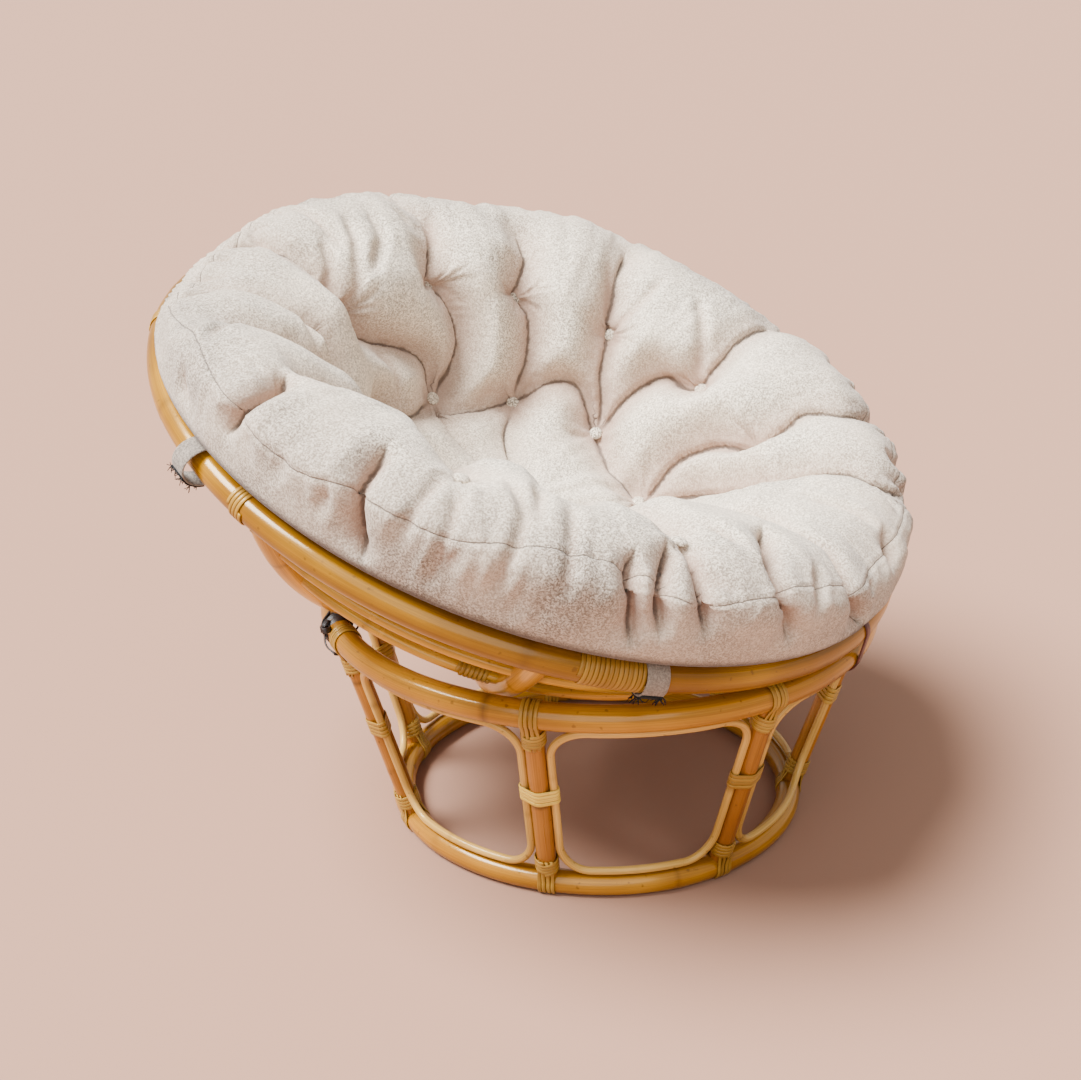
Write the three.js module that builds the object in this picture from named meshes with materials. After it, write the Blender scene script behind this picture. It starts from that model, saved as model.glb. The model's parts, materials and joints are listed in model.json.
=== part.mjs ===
// Papasan chair: a tufted round cushion in a rattan bowl that leans on a rattan ring stand.
// Millimetres, +Z up, front at -Y. Bearings are degrees from the front, towards +X.

import * as THREE from 'three';

// Clearances
const seatGap = 0.3;
const bandEase = 0.8;
const strapEase = 1.2;
const tieSlack = 1.2;

// Cane strand that binds the joints
const strandWidth = 5;
const strandThickness = 1.6;

// Stand: two rings, leaning uprights and a bent loop in each panel
const standHeight = 315;
const topRingRadius = 380;
const topRingTube = 36;
const bottomRingRadius = 288;
const bottomRingTube = 34;
const uprightTube = 27;
const freeUprightBearings = [26, 77, 135, 194, 287, 335];
const tiedUprightWay = 44.4;
const loopTube = 11;
const loopCorner = 45;
const bandHeight = 25;
const bandHeightShare = 0.55;

// Bowl: rim, ribs on a sphere, smaller rings inside the ribs
const rimRadius = 530;
const rimTube = 40;
const ribTube = 36;
const ribInset = 14;
const bowlDepth = 306;
const ribCount = 8;
const firstRibBearing = 35;
const ribFootShare = 0.178;
const midRingTube = 16;
const midRingShares = [0.895, 0.702];
const hubTube = 20;
const hubShare = 0.226;

// Windings on the rim and on the lower mid ring
const spliceTurns = 14;
const splicePitch = 5.9;
const spliceStrapWay = 20;
const knotBearing = 296;
const knotTurns = 7;
const knotPitch = 5.8;
const bindingTurns = 3;
const bindingPitch = 5.8;
const bindingSpread = 8;

// Leather ties and webbing straps
const tieWidth = 12;
const tieThickness = 2.5;
const sideTieRib = 5;
const strapBearings = [249, 320];
const strapWidth = 29;
const strapThickness = 2;

// Cushion: heights are above the rim's plane, radii are from the bowl's axis
const lipFootHeight = 7;
const lipInnerHeight = 28;
const lipOuterHeight = 37;
const sideBulge = 32;
const sideHeight = 76;
const upperSideBulge = 20;
const upperSideHeight = 108;
const crestRadius = 498;
const crestHeight = 130;
const shoulderRadius = 432;
const shoulderHeight = 118;
const slopeRadius = 388;
const slopeHeight = 86;
const tuftRadius = 345;
const tuftHeight = 42;
const valleyRadius = 292;
const valleyHeight = -30;
const innerTuftRadius = 236;
const innerTuftHeight = -88;
const floorRadius = 168;
const floorHeight = -114;
const centreRadius = 84;
const centreHeight = -128;
const crestPuff = 16;
const facePuff = 40;
const innerPuff = 30;
const slopePuffShare = 0.6;
const floorPuffShare = 0.6;
const centrePuffShare = 0.3;
const valleyInnerShare = 0.5;
const tuftBearings = [22, 50, 77, 105, 129, 152, 191, 211, 231, 250, 284, 303, 322, 355];
const innerTuftBearings = [20, 54, 95, 124, 154, 190, 227, 263, 300, 338];
const columnsPerTuft = 4;

// The cushion's edge sags in and down at the back and stands higher at the front
const sagBearings = [0, 30, 60, 90, 120, 140, 160, 180, 205, 225, 240, 255, 330, 345];
const sagInsets = [34, 27, 17, 19, 17, 32, 32, 38, 58, 34, 12, 4, 0, 16];
const sagDrops = [42, 33, 20, 24, 19, 34, 32, 44, 68, 36, 12, 0, 0, 20];
const riseBearings = [0, 20, 225, 240, 255, 285, 315, 330, 350];
const riseHeights = [8, 0, 0, 8, 24, 42, 48, 44, 16];
const edgeSagShares = [0.2, 0.6, 1, 1, 0.85, 0.45, 0.1];
const edgeRiseShares = [0, 0.15, 0.35, 0.4, 0.6, 0.85, 1, 0.75, 0.25];

// Facets
const ringSegments = 64;
const smallRingSegments = 48;
const hubSegments = 32;
const tubeSides = 8;
const thinSides = 6;
const ribSteps = 12;
const cornerSteps = 4;
const windingSteps = 10;
const bindingSteps = 8;
const topPassSteps = 6;
const footPassSteps = 2;
const wrapSides = 12;
const ownTurnShare = 0.6;

const rattan = { color: 0xc98a3c, roughness: 0.38 };
const paleCane = { color: 0xd9b36a, roughness: 0.5 };
const linen = { color: 0xcfc6bd, roughness: 0.95 };
const webbing = { color: 0xb5aca2, roughness: 0.9 };
const leather = { color: 0x3a2320, roughness: 0.6 };

// Places shared by several pieces
const fullTurn = 360;
const upZ = new THREE.Vector3(0, 0, 1);
const tiltAxis = new THREE.Vector3(1, 0, 0);
const bottomRingHeight = bottomRingTube / 2;
const bottomRingReach = bottomRingTube / 2 / Math.cos(Math.PI / tubeSides);
const coneSlope = Math.atan2(topRingRadius - bottomRingRadius, standHeight - bottomRingHeight);
const topRingSagitta = sagitta(topRingRadius, ringSegments);
const rideGap = strandThickness + 2 * seatGap + topRingSagitta;
const ribReach = rimRadius - ribInset;
const rimDrop = (ribReach ** 2 - bowlDepth ** 2) / (2 * bowlDepth);
const ribSphere = rimDrop + bowlDepth;
const rimSphere = Math.hypot(rimRadius, rimDrop);
const ringSphere = ribSphere + ribTube / 2 + rideGap + topRingTube / 2;
const bowlCentreHeight = standHeight + Math.sqrt(ringSphere ** 2 - topRingRadius ** 2);
const rimPolar = Math.atan2(rimRadius, rimDrop);
const ringPolar = Math.asin(topRingRadius / ringSphere);
const restAngle = angleBetweenSides(ringSphere, rimSphere, (rimTube + topRingTube) / 2 + rideGap);
const bowlTilt = rimPolar - ringPolar - restAngle;
const innerSphere = ribSphere - ribTube / 2 - seatGap;
const ribFootPolar = rimPolar * ribFootShare;
const midRingPolars = midRingShares.map((share) => rimPolar * share);
const hubPolar = rimPolar * hubShare;
const windingThickness = strandThickness + 3 * seatGap;
const cushionSphere = innerSphere - midRingTube - windingThickness
  - sagitta(innerSphere * Math.sin(midRingPolars[0]), smallRingSegments);
const cushionFootSphere = innerSphere - hubTube - seatGap
  - sagitta(innerSphere * Math.sin(hubPolar), hubSegments);
const lipPolar = Math.acos((rimDrop - lipFootHeight) / cushionSphere);
const spliceBearing = strapBearings.at(-1)
  - THREE.MathUtils.radToDeg((spliceTurns * splicePitch + spliceStrapWay) / rimRadius);

// Small helpers

function angleBetweenSides(a, b, opposite) {
  return Math.acos((a ** 2 + b ** 2 - opposite ** 2) / (2 * a * b));
}

function sagitta(radius, segments) {
  return radius * (1 - Math.cos(Math.PI / segments));
}

function radians(degrees) {
  return THREE.MathUtils.degToRad(degrees);
}

function around(bearing, radius, height) {
  const angle = radians(bearing);
  return new THREE.Vector3(radius * Math.sin(angle), -radius * Math.cos(angle), height);
}

function onSphere(bearing, polar, radius) {
  return around(bearing, radius * Math.sin(polar), -radius * Math.cos(polar));
}

function roundSection(radius, sides, flatDown = false) {
  const reach = flatDown ? radius / Math.cos(Math.PI / sides) : radius;
  const points = [];
  for (let i = 0; i < sides; i += 1) {
    const angle = (2 * Math.PI * (i + (flatDown ? 0.5 : 0))) / sides;
    points.push([reach * Math.cos(angle), reach * Math.sin(angle)]);
  }
  return points;
}

function strandSection() {
  const w = strandWidth / 2;
  const t = strandThickness / 2;
  return [[-w, -t], [w, -t], [w, t], [-w, t]];
}

function sectionPoints(stations, section, closed) {
  const last = stations.length - 1;
  const rings = [];
  stations.forEach((station, i) => {
    const before = i > 0 ? stations[i - 1] : stations[closed ? last : 0];
    const after = i < last ? stations[i + 1] : stations[closed ? 0 : last];
    const along = after.at.clone().sub(before.at).normalize();
    const across = station.out.clone().cross(along).normalize();
    const out = along.clone().cross(across);
    rings.push(section.map(([a, b]) =>
      station.at.clone().addScaledVector(across, a).addScaledVector(out, b)));
  });
  return rings;
}

function geometryFrom(points, triangles) {
  const geometry = new THREE.BufferGeometry();
  const values = points.flatMap((p) => [p.x, p.y, p.z]);
  geometry.setAttribute('position', new THREE.Float32BufferAttribute(values, 3));
  geometry.setIndex(triangles.flat());
  geometry.computeVertexNormals();
  return geometry;
}

// A solid swept through stations, each with a place and the direction its section's top faces.
function sweep(stations, section, closed) {
  const rings = sectionPoints(stations, section, closed);
  const sides = section.length;
  const triangles = [];
  const spans = closed ? rings.length : rings.length - 1;
  for (let i = 0; i < spans; i += 1) {
    const next = (i + 1) % rings.length;
    for (let j = 0; j < sides; j += 1) {
      const k = (j + 1) % sides;
      triangles.push([i * sides + j, i * sides + k, next * sides + k]);
      triangles.push([i * sides + j, next * sides + k, next * sides + j]);
    }
  }
  if (!closed) {
    const end = (rings.length - 1) * sides;
    for (let j = 1; j < sides - 1; j += 1) {
      triangles.push([0, j + 1, j]);
      triangles.push([end, end + j, end + j + 1]);
    }
  }
  return geometryFrom(rings.flat(), triangles);
}

// The outline of a band pulled tight round circles [x, y, radius], lying an offset outside them.
function wrapOutline(circles, offset, stretch = 1) {
  const points = [];
  circles.forEach(([x, y, radius]) => {
    const reach = (radius + offset) / Math.cos(Math.PI / wrapSides);
    for (let i = 0; i < wrapSides; i += 1) {
      const angle = (2 * Math.PI * i) / wrapSides;
      points.push(new THREE.Vector2(x + stretch * reach * Math.cos(angle), y + reach * Math.sin(angle)));
    }
  });
  return convexHull(points);
}

function convexHull(points) {
  const sorted = [...points].sort((a, b) => a.x - b.x || a.y - b.y);
  const half = (list) => {
    const chain = [];
    list.forEach((p) => {
      while (chain.length > 1 && turn(chain.at(-2), chain.at(-1), p) <= 0) {
        chain.pop();
      }
      chain.push(p);
    });
    return chain.slice(0, -1);
  };
  return [...half(sorted), ...half(sorted.reverse())];
}

function turn(a, b, c) {
  const cross = (b.x - a.x) * (c.y - a.y) - (b.y - a.y) * (c.x - a.x);
  return Math.abs(cross) < Number.EPSILON ? 0 : cross;
}

// A flat band of one thickness round circles, extruded to its width and set in a frame.
function wrapBand(circles, ease, thickness, width, frame, stretch = 1) {
  const shape = new THREE.Shape(wrapOutline(circles, ease + thickness, stretch));
  shape.holes.push(new THREE.Path(wrapOutline(circles, ease, stretch)));
  const geometry = new THREE.ExtrudeGeometry(shape, { depth: width, bevelEnabled: false });
  geometry.translate(0, 0, -width / 2);
  geometry.applyMatrix4(frame);
  return geometry;
}

function frameAt(origin, x, y) {
  const z = x.clone().cross(y);
  return new THREE.Matrix4().makeBasis(x, y, z).setPosition(origin);
}

function piece(name, geometry, look) {
  const mesh = new THREE.Mesh(geometry, new THREE.MeshStandardMaterial({ ...look, metalness: 0 }));
  mesh.name = name;
  return mesh;
}

function ringStations(radius, height, count, out) {
  return Array.from({ length: count }, (_, i) => {
    const bearing = (fullTurn * i) / count;
    return { at: around(bearing, radius, height), out: out(bearing) };
  });
}

// Measures a wound strand's least gap to itself on its corner points.
function leastGap(rings, stepsPerTurn) {
  let least = Infinity;
  for (let i = 0; i < rings.length; i += 1) {
    for (let j = i + Math.ceil(stepsPerTurn * ownTurnShare); j < rings.length; j += 1) {
      rings[i].forEach((p) => rings[j].forEach((q) => {
        least = Math.min(least, p.distanceTo(q));
      }));
    }
  }
  return least;
}

function windingGeometry(name, stations, stepsPerTurn) {
  const gap = leastGap(sectionPoints(stations, strandSection(), false), stepsPerTurn);
  console.log(`${name}: least gap to itself ${gap.toFixed(2)} mm`);
  return sweep(stations, strandSection(), false);
}

// Adds a straight end, one strand thickness long, to each end of a wound strand.
function withStraightEnds(stations) {
  const extend = (end, inner) => {
    const away = end.at.clone().sub(inner.at).setLength(strandThickness);
    return { at: end.at.clone().add(away), out: end.out };
  };
  const first = extend(stations[0], stations[1]);
  const last = extend(stations.at(-1), stations.at(-2));
  return [first, ...stations, last];
}

// Stand

function topRing() {
  const stations = ringStations(topRingRadius, standHeight, ringSegments,
    (bearing) => onSphere(bearing, ringPolar, 1));
  return sweep(stations, roundSection(topRingTube / 2, tubeSides), true);
}

function bottomRing() {
  const stations = ringStations(bottomRingRadius, bottomRingHeight, ringSegments,
    (bearing) => around(bearing, 1, 0));
  return sweep(stations, roundSection(bottomRingTube / 2, tubeSides, true), true);
}

function coneRadius(height) {
  const share = (height - bottomRingHeight) / (standHeight - bottomRingHeight);
  return THREE.MathUtils.lerp(bottomRingRadius, topRingRadius, share);
}

// The upright's line between the two rings, with its tangent and outward directions.
function uprightLine(bearing) {
  const foot = around(bearing, bottomRingRadius, bottomRingHeight);
  const head = around(bearing, topRingRadius, standHeight);
  const along = head.clone().sub(foot).normalize();
  const side = around(bearing + 90, 1, 0);
  return { foot, head, along, side, out: side.clone().cross(along).normalize() };
}

function upright(bearing) {
  const { foot, head, along, out } = uprightLine(bearing);
  const start = foot.clone().addScaledVector(along, bottomRingReach + seatGap);
  const end = head.clone().addScaledVector(along, -(topRingTube / 2 + seatGap));
  return sweep([{ at: start, out }, { at: end, out }], roundSection(uprightTube / 2, tubeSides), false);
}

function loopOffset() {
  return uprightTube / 2 + seatGap + loopTube / 2;
}

// A bent cane loop on the cone between two uprights, just inside both rings.
function panelLoop(fromBearing, toBearing) {
  const tieRoom = tieThickness + 2 * seatGap;
  const low = bottomRingHeight + bottomRingReach + tieRoom + loopTube / 2;
  const high = standHeight - topRingTube / 2 - tieRoom - loopTube / 2;
  const middle = (fromBearing + toBearing) / 2;
  const halfAngle = radians((toBearing - fromBearing) / 2);
  const sideAngle = (height) => halfAngle - Math.asin(loopOffset() / coneRadius(height));
  const midHeight = (low + high) / 2;
  const halfWidth = coneRadius(midHeight) * sideAngle(midHeight);
  const corners = [[1, low, -90], [1, high, 0], [-1, high, 90], [-1, low, 180]];
  const outline = corners.flatMap(([sign, height, firstAngle]) => {
    const inward = height === low ? loopCorner : -loopCorner;
    return Array.from({ length: cornerSteps + 1 }, (_, i) => {
      const angle = radians(firstAngle + (90 * i) / cornerSteps);
      return [
        sign * (halfWidth - loopCorner) + loopCorner * Math.cos(angle),
        height + inward + loopCorner * Math.sin(angle),
      ];
    });
  });
  const points = outline.flatMap(([x, z], i) => {
    const [nextX, nextZ] = outline[(i + 1) % outline.length];
    const straight = Math.hypot(nextX - x, nextZ - z) > loopCorner;
    return straight ? [[x, z], [(2 * x + nextX) / 3, (2 * z + nextZ) / 3],
      [(x + 2 * nextX) / 3, (z + 2 * nextZ) / 3]] : [[x, z]];
  });
  const stations = points.map(([x, z]) => {
    const bearing = middle + THREE.MathUtils.radToDeg((sideAngle(z) * x) / halfWidth);
    const out = around(bearing, Math.cos(coneSlope), -Math.sin(coneSlope));
    return { at: around(bearing, coneRadius(z), z), out };
  });
  return sweep(stations, roundSection(loopTube / 2, thinSides), true);
}

// The cane band that holds an upright and the loops on both sides of it.
function middleBand(bearing) {
  const { foot, head, side, out } = uprightLine(bearing);
  const centre = foot.clone().lerp(head, bandHeightShare);
  const loops = [-loopOffset(), loopOffset()].map((x) => [x, 0, loopTube / 2]);
  const circles = [[0, 0, uprightTube / 2], ...loops];
  return wrapBand(circles, bandEase, strandThickness, bandHeight, frameAt(centre, side, out));
}

// A strand wound round one end of an upright that then passes over the ring there. At the top it
// bends where the ring's corners are, so that the bowl's ribs ride just clear of it.
function ringBinding(name, bearing, atTop) {
  const { foot, head, along, side, out } = uprightLine(bearing);
  const ringRadius = atTop ? topRingTube / 2 : bottomRingReach;
  const origin = atTop ? head : foot;
  const away = along.clone().multiplyScalar(atTop ? -1 : 1);
  const coilRadius = uprightTube / 2 + seatGap + strandThickness / 2;
  const passSpan = fullTurn / bindingSteps;
  const passRadius = atTop
    ? ringRadius + topRingSagitta + seatGap + strandThickness / 2
    : (ringRadius + seatGap + strandThickness) / Math.cos(Math.PI / bindingSteps);
  const firstPass = atTop
    ? THREE.MathUtils.radToDeg(coneSlope + ringPolar)
    : 90 - passSpan / 2;
  const crossing = ringRadius + 2 * seatGap + strandWidth / 2;
  const nearest = crossing + strandWidth + seatGap;
  const place = (outward, sideways, distance) => origin.clone()
    .addScaledVector(out, outward).addScaledVector(side, sideways).addScaledVector(away, distance);
  const stations = [];
  for (let i = 0; i <= bindingTurns * bindingSteps + 1; i += 1) {
    const angle = (2 * Math.PI * i) / bindingSteps;
    const distance = nearest + bindingPitch * Math.max(0, bindingTurns - i / bindingSteps);
    const facing = out.clone().multiplyScalar(Math.cos(angle)).addScaledVector(side, Math.sin(angle));
    const lift = i > bindingTurns * bindingSteps ? strandThickness : 0;
    stations.push({ at: place(0, 0, distance).addScaledVector(facing, coilRadius + lift), out: facing });
  }
  const pass = (degrees, sideways) => {
    const angle = radians(degrees);
    const facing = away.clone().multiplyScalar(Math.cos(angle)).addScaledVector(out, Math.sin(angle));
    return { at: place(0, sideways, 0).addScaledVector(facing, passRadius), out: facing };
  };
  const passDegrees = Array.from({ length: atTop ? topPassSteps : footPassSteps },
    (_, i) => firstPass + passSpan * i);
  passDegrees.forEach((degrees) => stations.push(pass(degrees, bindingSpread)));
  if (atTop) {
    const inward = out.clone().negate();
    [bindingSpread, -bindingSpread].forEach((sideways) => {
      stations.push({ at: place(-coilRadius, sideways, crossing), out: inward });
    });
    [...passDegrees].reverse().forEach((degrees) => stations.push(pass(degrees, -bindingSpread)));
  }
  return windingGeometry(name, withStraightEnds(stations), bindingSteps);
}

function buildStand() {
  const stand = new THREE.Group();
  stand.add(piece('base_bottom_ring', bottomRing(), rattan));
  stand.add(piece('base_top_ring', topRing(), rattan));
  const { direction } = ribCrossing(ribBearing(sideTieRib));
  const tieBearing = THREE.MathUtils.radToDeg(Math.atan2(direction.x, -direction.y)) + fullTurn;
  const tiedBearing = tieBearing + THREE.MathUtils.radToDeg(tiedUprightWay / topRingRadius);
  const uprightBearings = [...freeUprightBearings, tiedBearing].sort((a, b) => a - b);
  uprightBearings.forEach((bearing, i) => {
    const number = i + 1;
    const next = uprightBearings[(i + 1) % uprightBearings.length];
    const nextBearing = next > bearing ? next : next + fullTurn;
    const topName = `top_binding_${number}`;
    const footName = `foot_binding_${number}`;
    stand.add(piece(`upright_${number}`, upright(bearing), rattan));
    stand.add(piece(`panel_loop_${number}`, panelLoop(bearing, nextBearing), paleCane));
    stand.add(piece(`middle_band_${number}`, middleBand(bearing), paleCane));
    stand.add(piece(topName, ringBinding(topName, bearing, true), paleCane));
    stand.add(piece(footName, ringBinding(footName, bearing, false), paleCane));
  });
  return stand;
}

// Bowl, in a frame whose origin is the centre of the sphere that the ribs lie on

function bowlRing(radius, drop, tube, segments, sides) {
  const polar = Math.atan2(radius, drop);
  const stations = ringStations(radius, -drop, segments, (bearing) => onSphere(bearing, polar, 1));
  return sweep(stations, roundSection(tube / 2, sides), true);
}

function innerRing(polar, tube, segments) {
  const radius = innerSphere - tube / 2;
  return bowlRing(radius * Math.sin(polar), radius * Math.cos(polar), tube, segments, tubeSides);
}

function ribBearing(index) {
  return firstRibBearing + (fullTurn * index) / ribCount;
}

function rib(bearing) {
  const last = rimPolar - Math.asin((rimTube / 2 + seatGap) / rimSphere);
  const stations = Array.from({ length: ribSteps + 1 }, (_, i) => {
    const polar = THREE.MathUtils.lerp(ribFootPolar, last, i / ribSteps);
    return { at: onSphere(bearing, polar, ribSphere), out: onSphere(bearing, polar, 1) };
  });
  return sweep(stations, roundSection(ribTube / 2, tubeSides), false);
}

// A strand wound round a stretch of one of the bowl's rings.
function ringWinding(name, radius, drop, tube, segments, bearing, turns, pitch) {
  const clear = tube / 2 + seatGap + sagitta(radius, segments);
  const reach = clear / Math.cos(Math.PI / windingSteps) + strandThickness / 2;
  const stations = Array.from({ length: turns * windingSteps + 1 }, (_, i) => {
    const here = bearing + THREE.MathUtils.radToDeg((pitch * i) / windingSteps / radius);
    const angle = (2 * Math.PI * i) / windingSteps;
    const facing = around(here, Math.cos(angle), Math.sin(angle));
    return { at: around(here, radius, -drop).addScaledVector(facing, reach), out: facing };
  });
  return windingGeometry(name, withStraightEnds(stations), windingSteps);
}

function knotWinding(name) {
  const radius = innerSphere - midRingTube / 2;
  const polar = midRingPolars[1];
  return ringWinding(name, radius * Math.sin(polar), radius * Math.cos(polar), midRingTube,
    smallRingSegments, knotBearing, knotTurns, knotPitch);
}

function buildBowl() {
  const bowl = new THREE.Group();
  bowl.add(piece('bowl_rim', bowlRing(rimRadius, rimDrop, rimTube, ringSegments, tubeSides), rattan));
  for (let i = 0; i < ribCount; i += 1) {
    bowl.add(piece(`bowl_rib_${i + 1}`, rib(ribBearing(i)), rattan));
  }
  midRingPolars.forEach((polar, i) => {
    bowl.add(piece(`bowl_mid_ring_${i + 1}`, innerRing(polar, midRingTube, smallRingSegments), rattan));
  });
  bowl.add(piece('bowl_hub_ring', innerRing(hubPolar, hubTube, hubSegments), rattan));
  bowl.add(piece('rim_splice_winding', ringWinding('rim_splice_winding', rimRadius, rimDrop, rimTube,
    ringSegments, spliceBearing, spliceTurns, splicePitch), paleCane));
  bowl.add(piece('mid_ring_winding', knotWinding('mid_ring_winding'), paleCane));
  return bowl;
}

// Cushion

// How far a bearing is from its nearest tufts: 0 on a tuft, 1 halfway between two.
function swellAt(bearing, tufts) {
  const turned = bearing % fullTurn;
  const after = tufts.find((tuft) => tuft > turned) ?? tufts[0] + fullTurn;
  const before = tufts.filter((tuft) => tuft <= turned).at(-1) ?? tufts.at(-1) - fullTurn;
  return Math.sin((Math.PI * (turned - before)) / (after - before));
}

// The value at a bearing, on the line between the nearest of the listed ones.
function valueAt(bearing, bearings, values) {
  const turned = bearing % fullTurn;
  const next = Math.max(0, bearings.findIndex((other) => other > turned));
  const last = (next + bearings.length - 1) % bearings.length;
  const span = (bearings[next] - bearings[last] + fullTurn) % fullTurn;
  return THREE.MathUtils.lerp(values[last], values[next], (turned - bearings[last]) / span);
}

// The cushion's section from under its middle to its face. Each row holds a radius, a height, how far
// the cloth swells there between tufts, and how much of that follows the inner ring of tufts. The rows
// from the lip's outer side on also hold how much they follow the edge's sag and its rise.
function cushionProfile() {
  const under = (polar, sphere) => [sphere * Math.sin(polar), rimDrop - sphere * Math.cos(polar), 0, 0];
  const seat = [(hubPolar + midRingPolars[1]) / 2, midRingPolars[1], midRingPolars[0], lipPolar];
  const strapReach = rimTube / 2 + strapEase + strapThickness;
  const below = [
    under(hubPolar, cushionFootSphere),
    ...seat.map((polar) => under(polar, cushionSphere)),
    [rimRadius, lipInnerHeight, 0, 0],
  ];
  const above = [
    [rimRadius + strapReach, lipOuterHeight, 0, 0],
    [rimRadius + sideBulge, sideHeight, 0, 0],
    [rimRadius + upperSideBulge, upperSideHeight, crestPuff, 0],
    [crestRadius, crestHeight, crestPuff, 0],
    [shoulderRadius, shoulderHeight, crestPuff, 0],
    [slopeRadius, slopeHeight, facePuff * slopePuffShare, 0],
    [tuftRadius, tuftHeight, facePuff, 0],
    [valleyRadius, valleyHeight, facePuff, valleyInnerShare],
    [innerTuftRadius, innerTuftHeight, innerPuff, 1],
    [floorRadius, floorHeight, innerPuff * floorPuffShare, 1],
    [centreRadius, centreHeight, innerPuff * centrePuffShare, 1],
  ];
  return [...below, ...above.map((row, i) => [...row, edgeSagShares[i] ?? 0, edgeRiseShares[i] ?? 0])];
}

function cushionColumns() {
  return tuftBearings.flatMap((tuft, i) => {
    const next = tuftBearings[(i + 1) % tuftBearings.length];
    const span = ((next - tuft + fullTurn) % fullTurn) / columnsPerTuft;
    return Array.from({ length: columnsPerTuft }, (_, j) => tuft + span * j);
  });
}

function cushion() {
  const profile = cushionProfile();
  const columns = cushionColumns();
  const points = profile.flatMap(([radius, height, puff, innerShare, sag = 0, rise = 0], i) => {
    const [lastRadius, lastHeight] = profile[Math.max(0, i - 1)];
    const [nextRadius, nextHeight] = profile[Math.min(profile.length - 1, i + 1)];
    const run = Math.hypot(nextRadius - lastRadius, nextHeight - lastHeight);
    const outward = (nextHeight - lastHeight) / run;
    const upward = (lastRadius - nextRadius) / run;
    return columns.map((bearing) => {
      const swell = puff * THREE.MathUtils.lerp(
        swellAt(bearing, tuftBearings), swellAt(bearing, innerTuftBearings), innerShare);
      const inset = sag * valueAt(bearing, sagBearings, sagInsets);
      const drop = sag * valueAt(bearing, sagBearings, sagDrops)
        - rise * valueAt(bearing, riseBearings, riseHeights);
      return around(bearing, radius + outward * swell - inset, height + upward * swell - drop - rimDrop);
    });
  });
  const count = columns.length;
  const triangles = [];
  for (let i = 0; i < profile.length - 1; i += 1) {
    for (let j = 0; j < count; j += 1) {
      const k = (j + 1) % count;
      triangles.push([i * count + j, i * count + k, (i + 1) * count + k]);
      triangles.push([i * count + j, (i + 1) * count + k, (i + 1) * count + j]);
    }
  }
  const bottom = points.push(new THREE.Vector3(0, 0, -cushionFootSphere)) - 1;
  const top = points.push(new THREE.Vector3(0, 0, centreHeight - rimDrop)) - 1;
  const lastRing = (profile.length - 1) * count;
  for (let j = 0; j < count; j += 1) {
    const k = (j + 1) % count;
    triangles.push([bottom, k, j]);
    triangles.push([top, lastRing + j, lastRing + k]);
  }
  return geometryFrom(points, triangles);
}

// A webbing loop round the rim with a tab that reaches up to the cushion's lower edge.
function strap(bearing) {
  const inner = rimTube / 2 + strapEase;
  const outer = inner + strapThickness;
  const lipSlope = (lipOuterHeight - lipInnerHeight) / outer;
  const tabTop = lipInnerHeight + lipSlope * inner - seatGap;
  const tabFoot = Math.sqrt(outer ** 2 - inner ** 2);
  const shape = new THREE.Shape();
  shape.moveTo(outer, 0);
  shape.lineTo(outer, tabTop);
  shape.lineTo(inner, tabTop);
  shape.absarc(0, 0, outer, Math.atan2(tabFoot, inner), 2 * Math.PI, false);
  const hole = new THREE.Path().absarc(0, 0, inner, 0, 2 * Math.PI, false);
  shape.holes.push(hole);
  const options = { depth: strapWidth, bevelEnabled: false, curveSegments: wrapSides };
  const geometry = new THREE.ExtrudeGeometry(shape, options);
  geometry.translate(0, 0, -strapWidth / 2);
  geometry.applyMatrix4(frameAt(around(bearing, rimRadius, -rimDrop), around(bearing, 1, 0), upZ));
  return geometry;
}

function buildCushion() {
  const group = new THREE.Group();
  group.add(piece('cushion', cushion(), linen));
  strapBearings.forEach((bearing, i) => {
    group.add(piece(`cushion_strap_${i + 1}`, strap(bearing), webbing));
  });
  return group;
}

// Leather ties

// The front tie goes round the top ring and the rim where the rim settles on it.
function frontTie() {
  const lowestPolar = rimPolar - bowlTilt;
  const ring = [topRingRadius, standHeight, topRingTube / 2];
  const rim = [
    rimSphere * Math.sin(lowestPolar),
    bowlCentreHeight - rimSphere * Math.cos(lowestPolar),
    rimTube / 2,
  ];
  const frame = frameAt(new THREE.Vector3(), around(0, 1, 0), upZ);
  return wrapBand([ring, rim], seatGap, tieThickness, tieWidth, frame);
}

// The point where a leaning rib passes over the top ring, as a direction from the bowl's centre.
function ribCrossing(bearing) {
  const leaning = (polar) => onSphere(bearing, polar, 1).applyAxisAngle(tiltAxis, bowlTilt);
  const slide = Math.cos(radians(bearing)) * Math.sin(bowlTilt);
  const lowest = Math.atan2(slide, Math.cos(bowlTilt));
  const reach = Math.hypot(slide, Math.cos(bowlTilt));
  const polar = lowest + Math.acos(Math.cos(ringPolar) / reach);
  return { direction: leaning(polar), along: leaning(polar + Math.PI / 2) };
}

// The side tie goes round the top ring and a rib, slantwise across both.
function sideTie() {
  const { direction, along } = ribCrossing(ribBearing(sideTieRib));
  const ringWay = direction.clone().cross(upZ).normalize();
  const slant = along.clone().add(ringWay).normalize();
  const stretch = 1 / Math.sin(slant.angleTo(along));
  const shift = (tieWidth / 2) / Math.tan(slant.angleTo(along));
  const origin = direction.clone().multiplyScalar(ribSphere).addScaledVector(upZ, bowlCentreHeight);
  const circles = [-shift, shift].flatMap((x) => [
    [x, 0, ribTube / 2],
    [x, ringSphere - ribSphere, topRingTube / 2],
  ]);
  const frame = frameAt(origin, slant, direction);
  return wrapBand(circles, tieSlack, tieThickness, tieWidth, frame, stretch);
}

function buildTies() {
  const ties = new THREE.Group();
  ties.add(piece('leather_tie_front', frontTie(), leather));
  ties.add(piece('leather_tie_side', sideTie(), leather));
  return ties;
}

// The chair, with its origin under the middle of its outline

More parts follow.
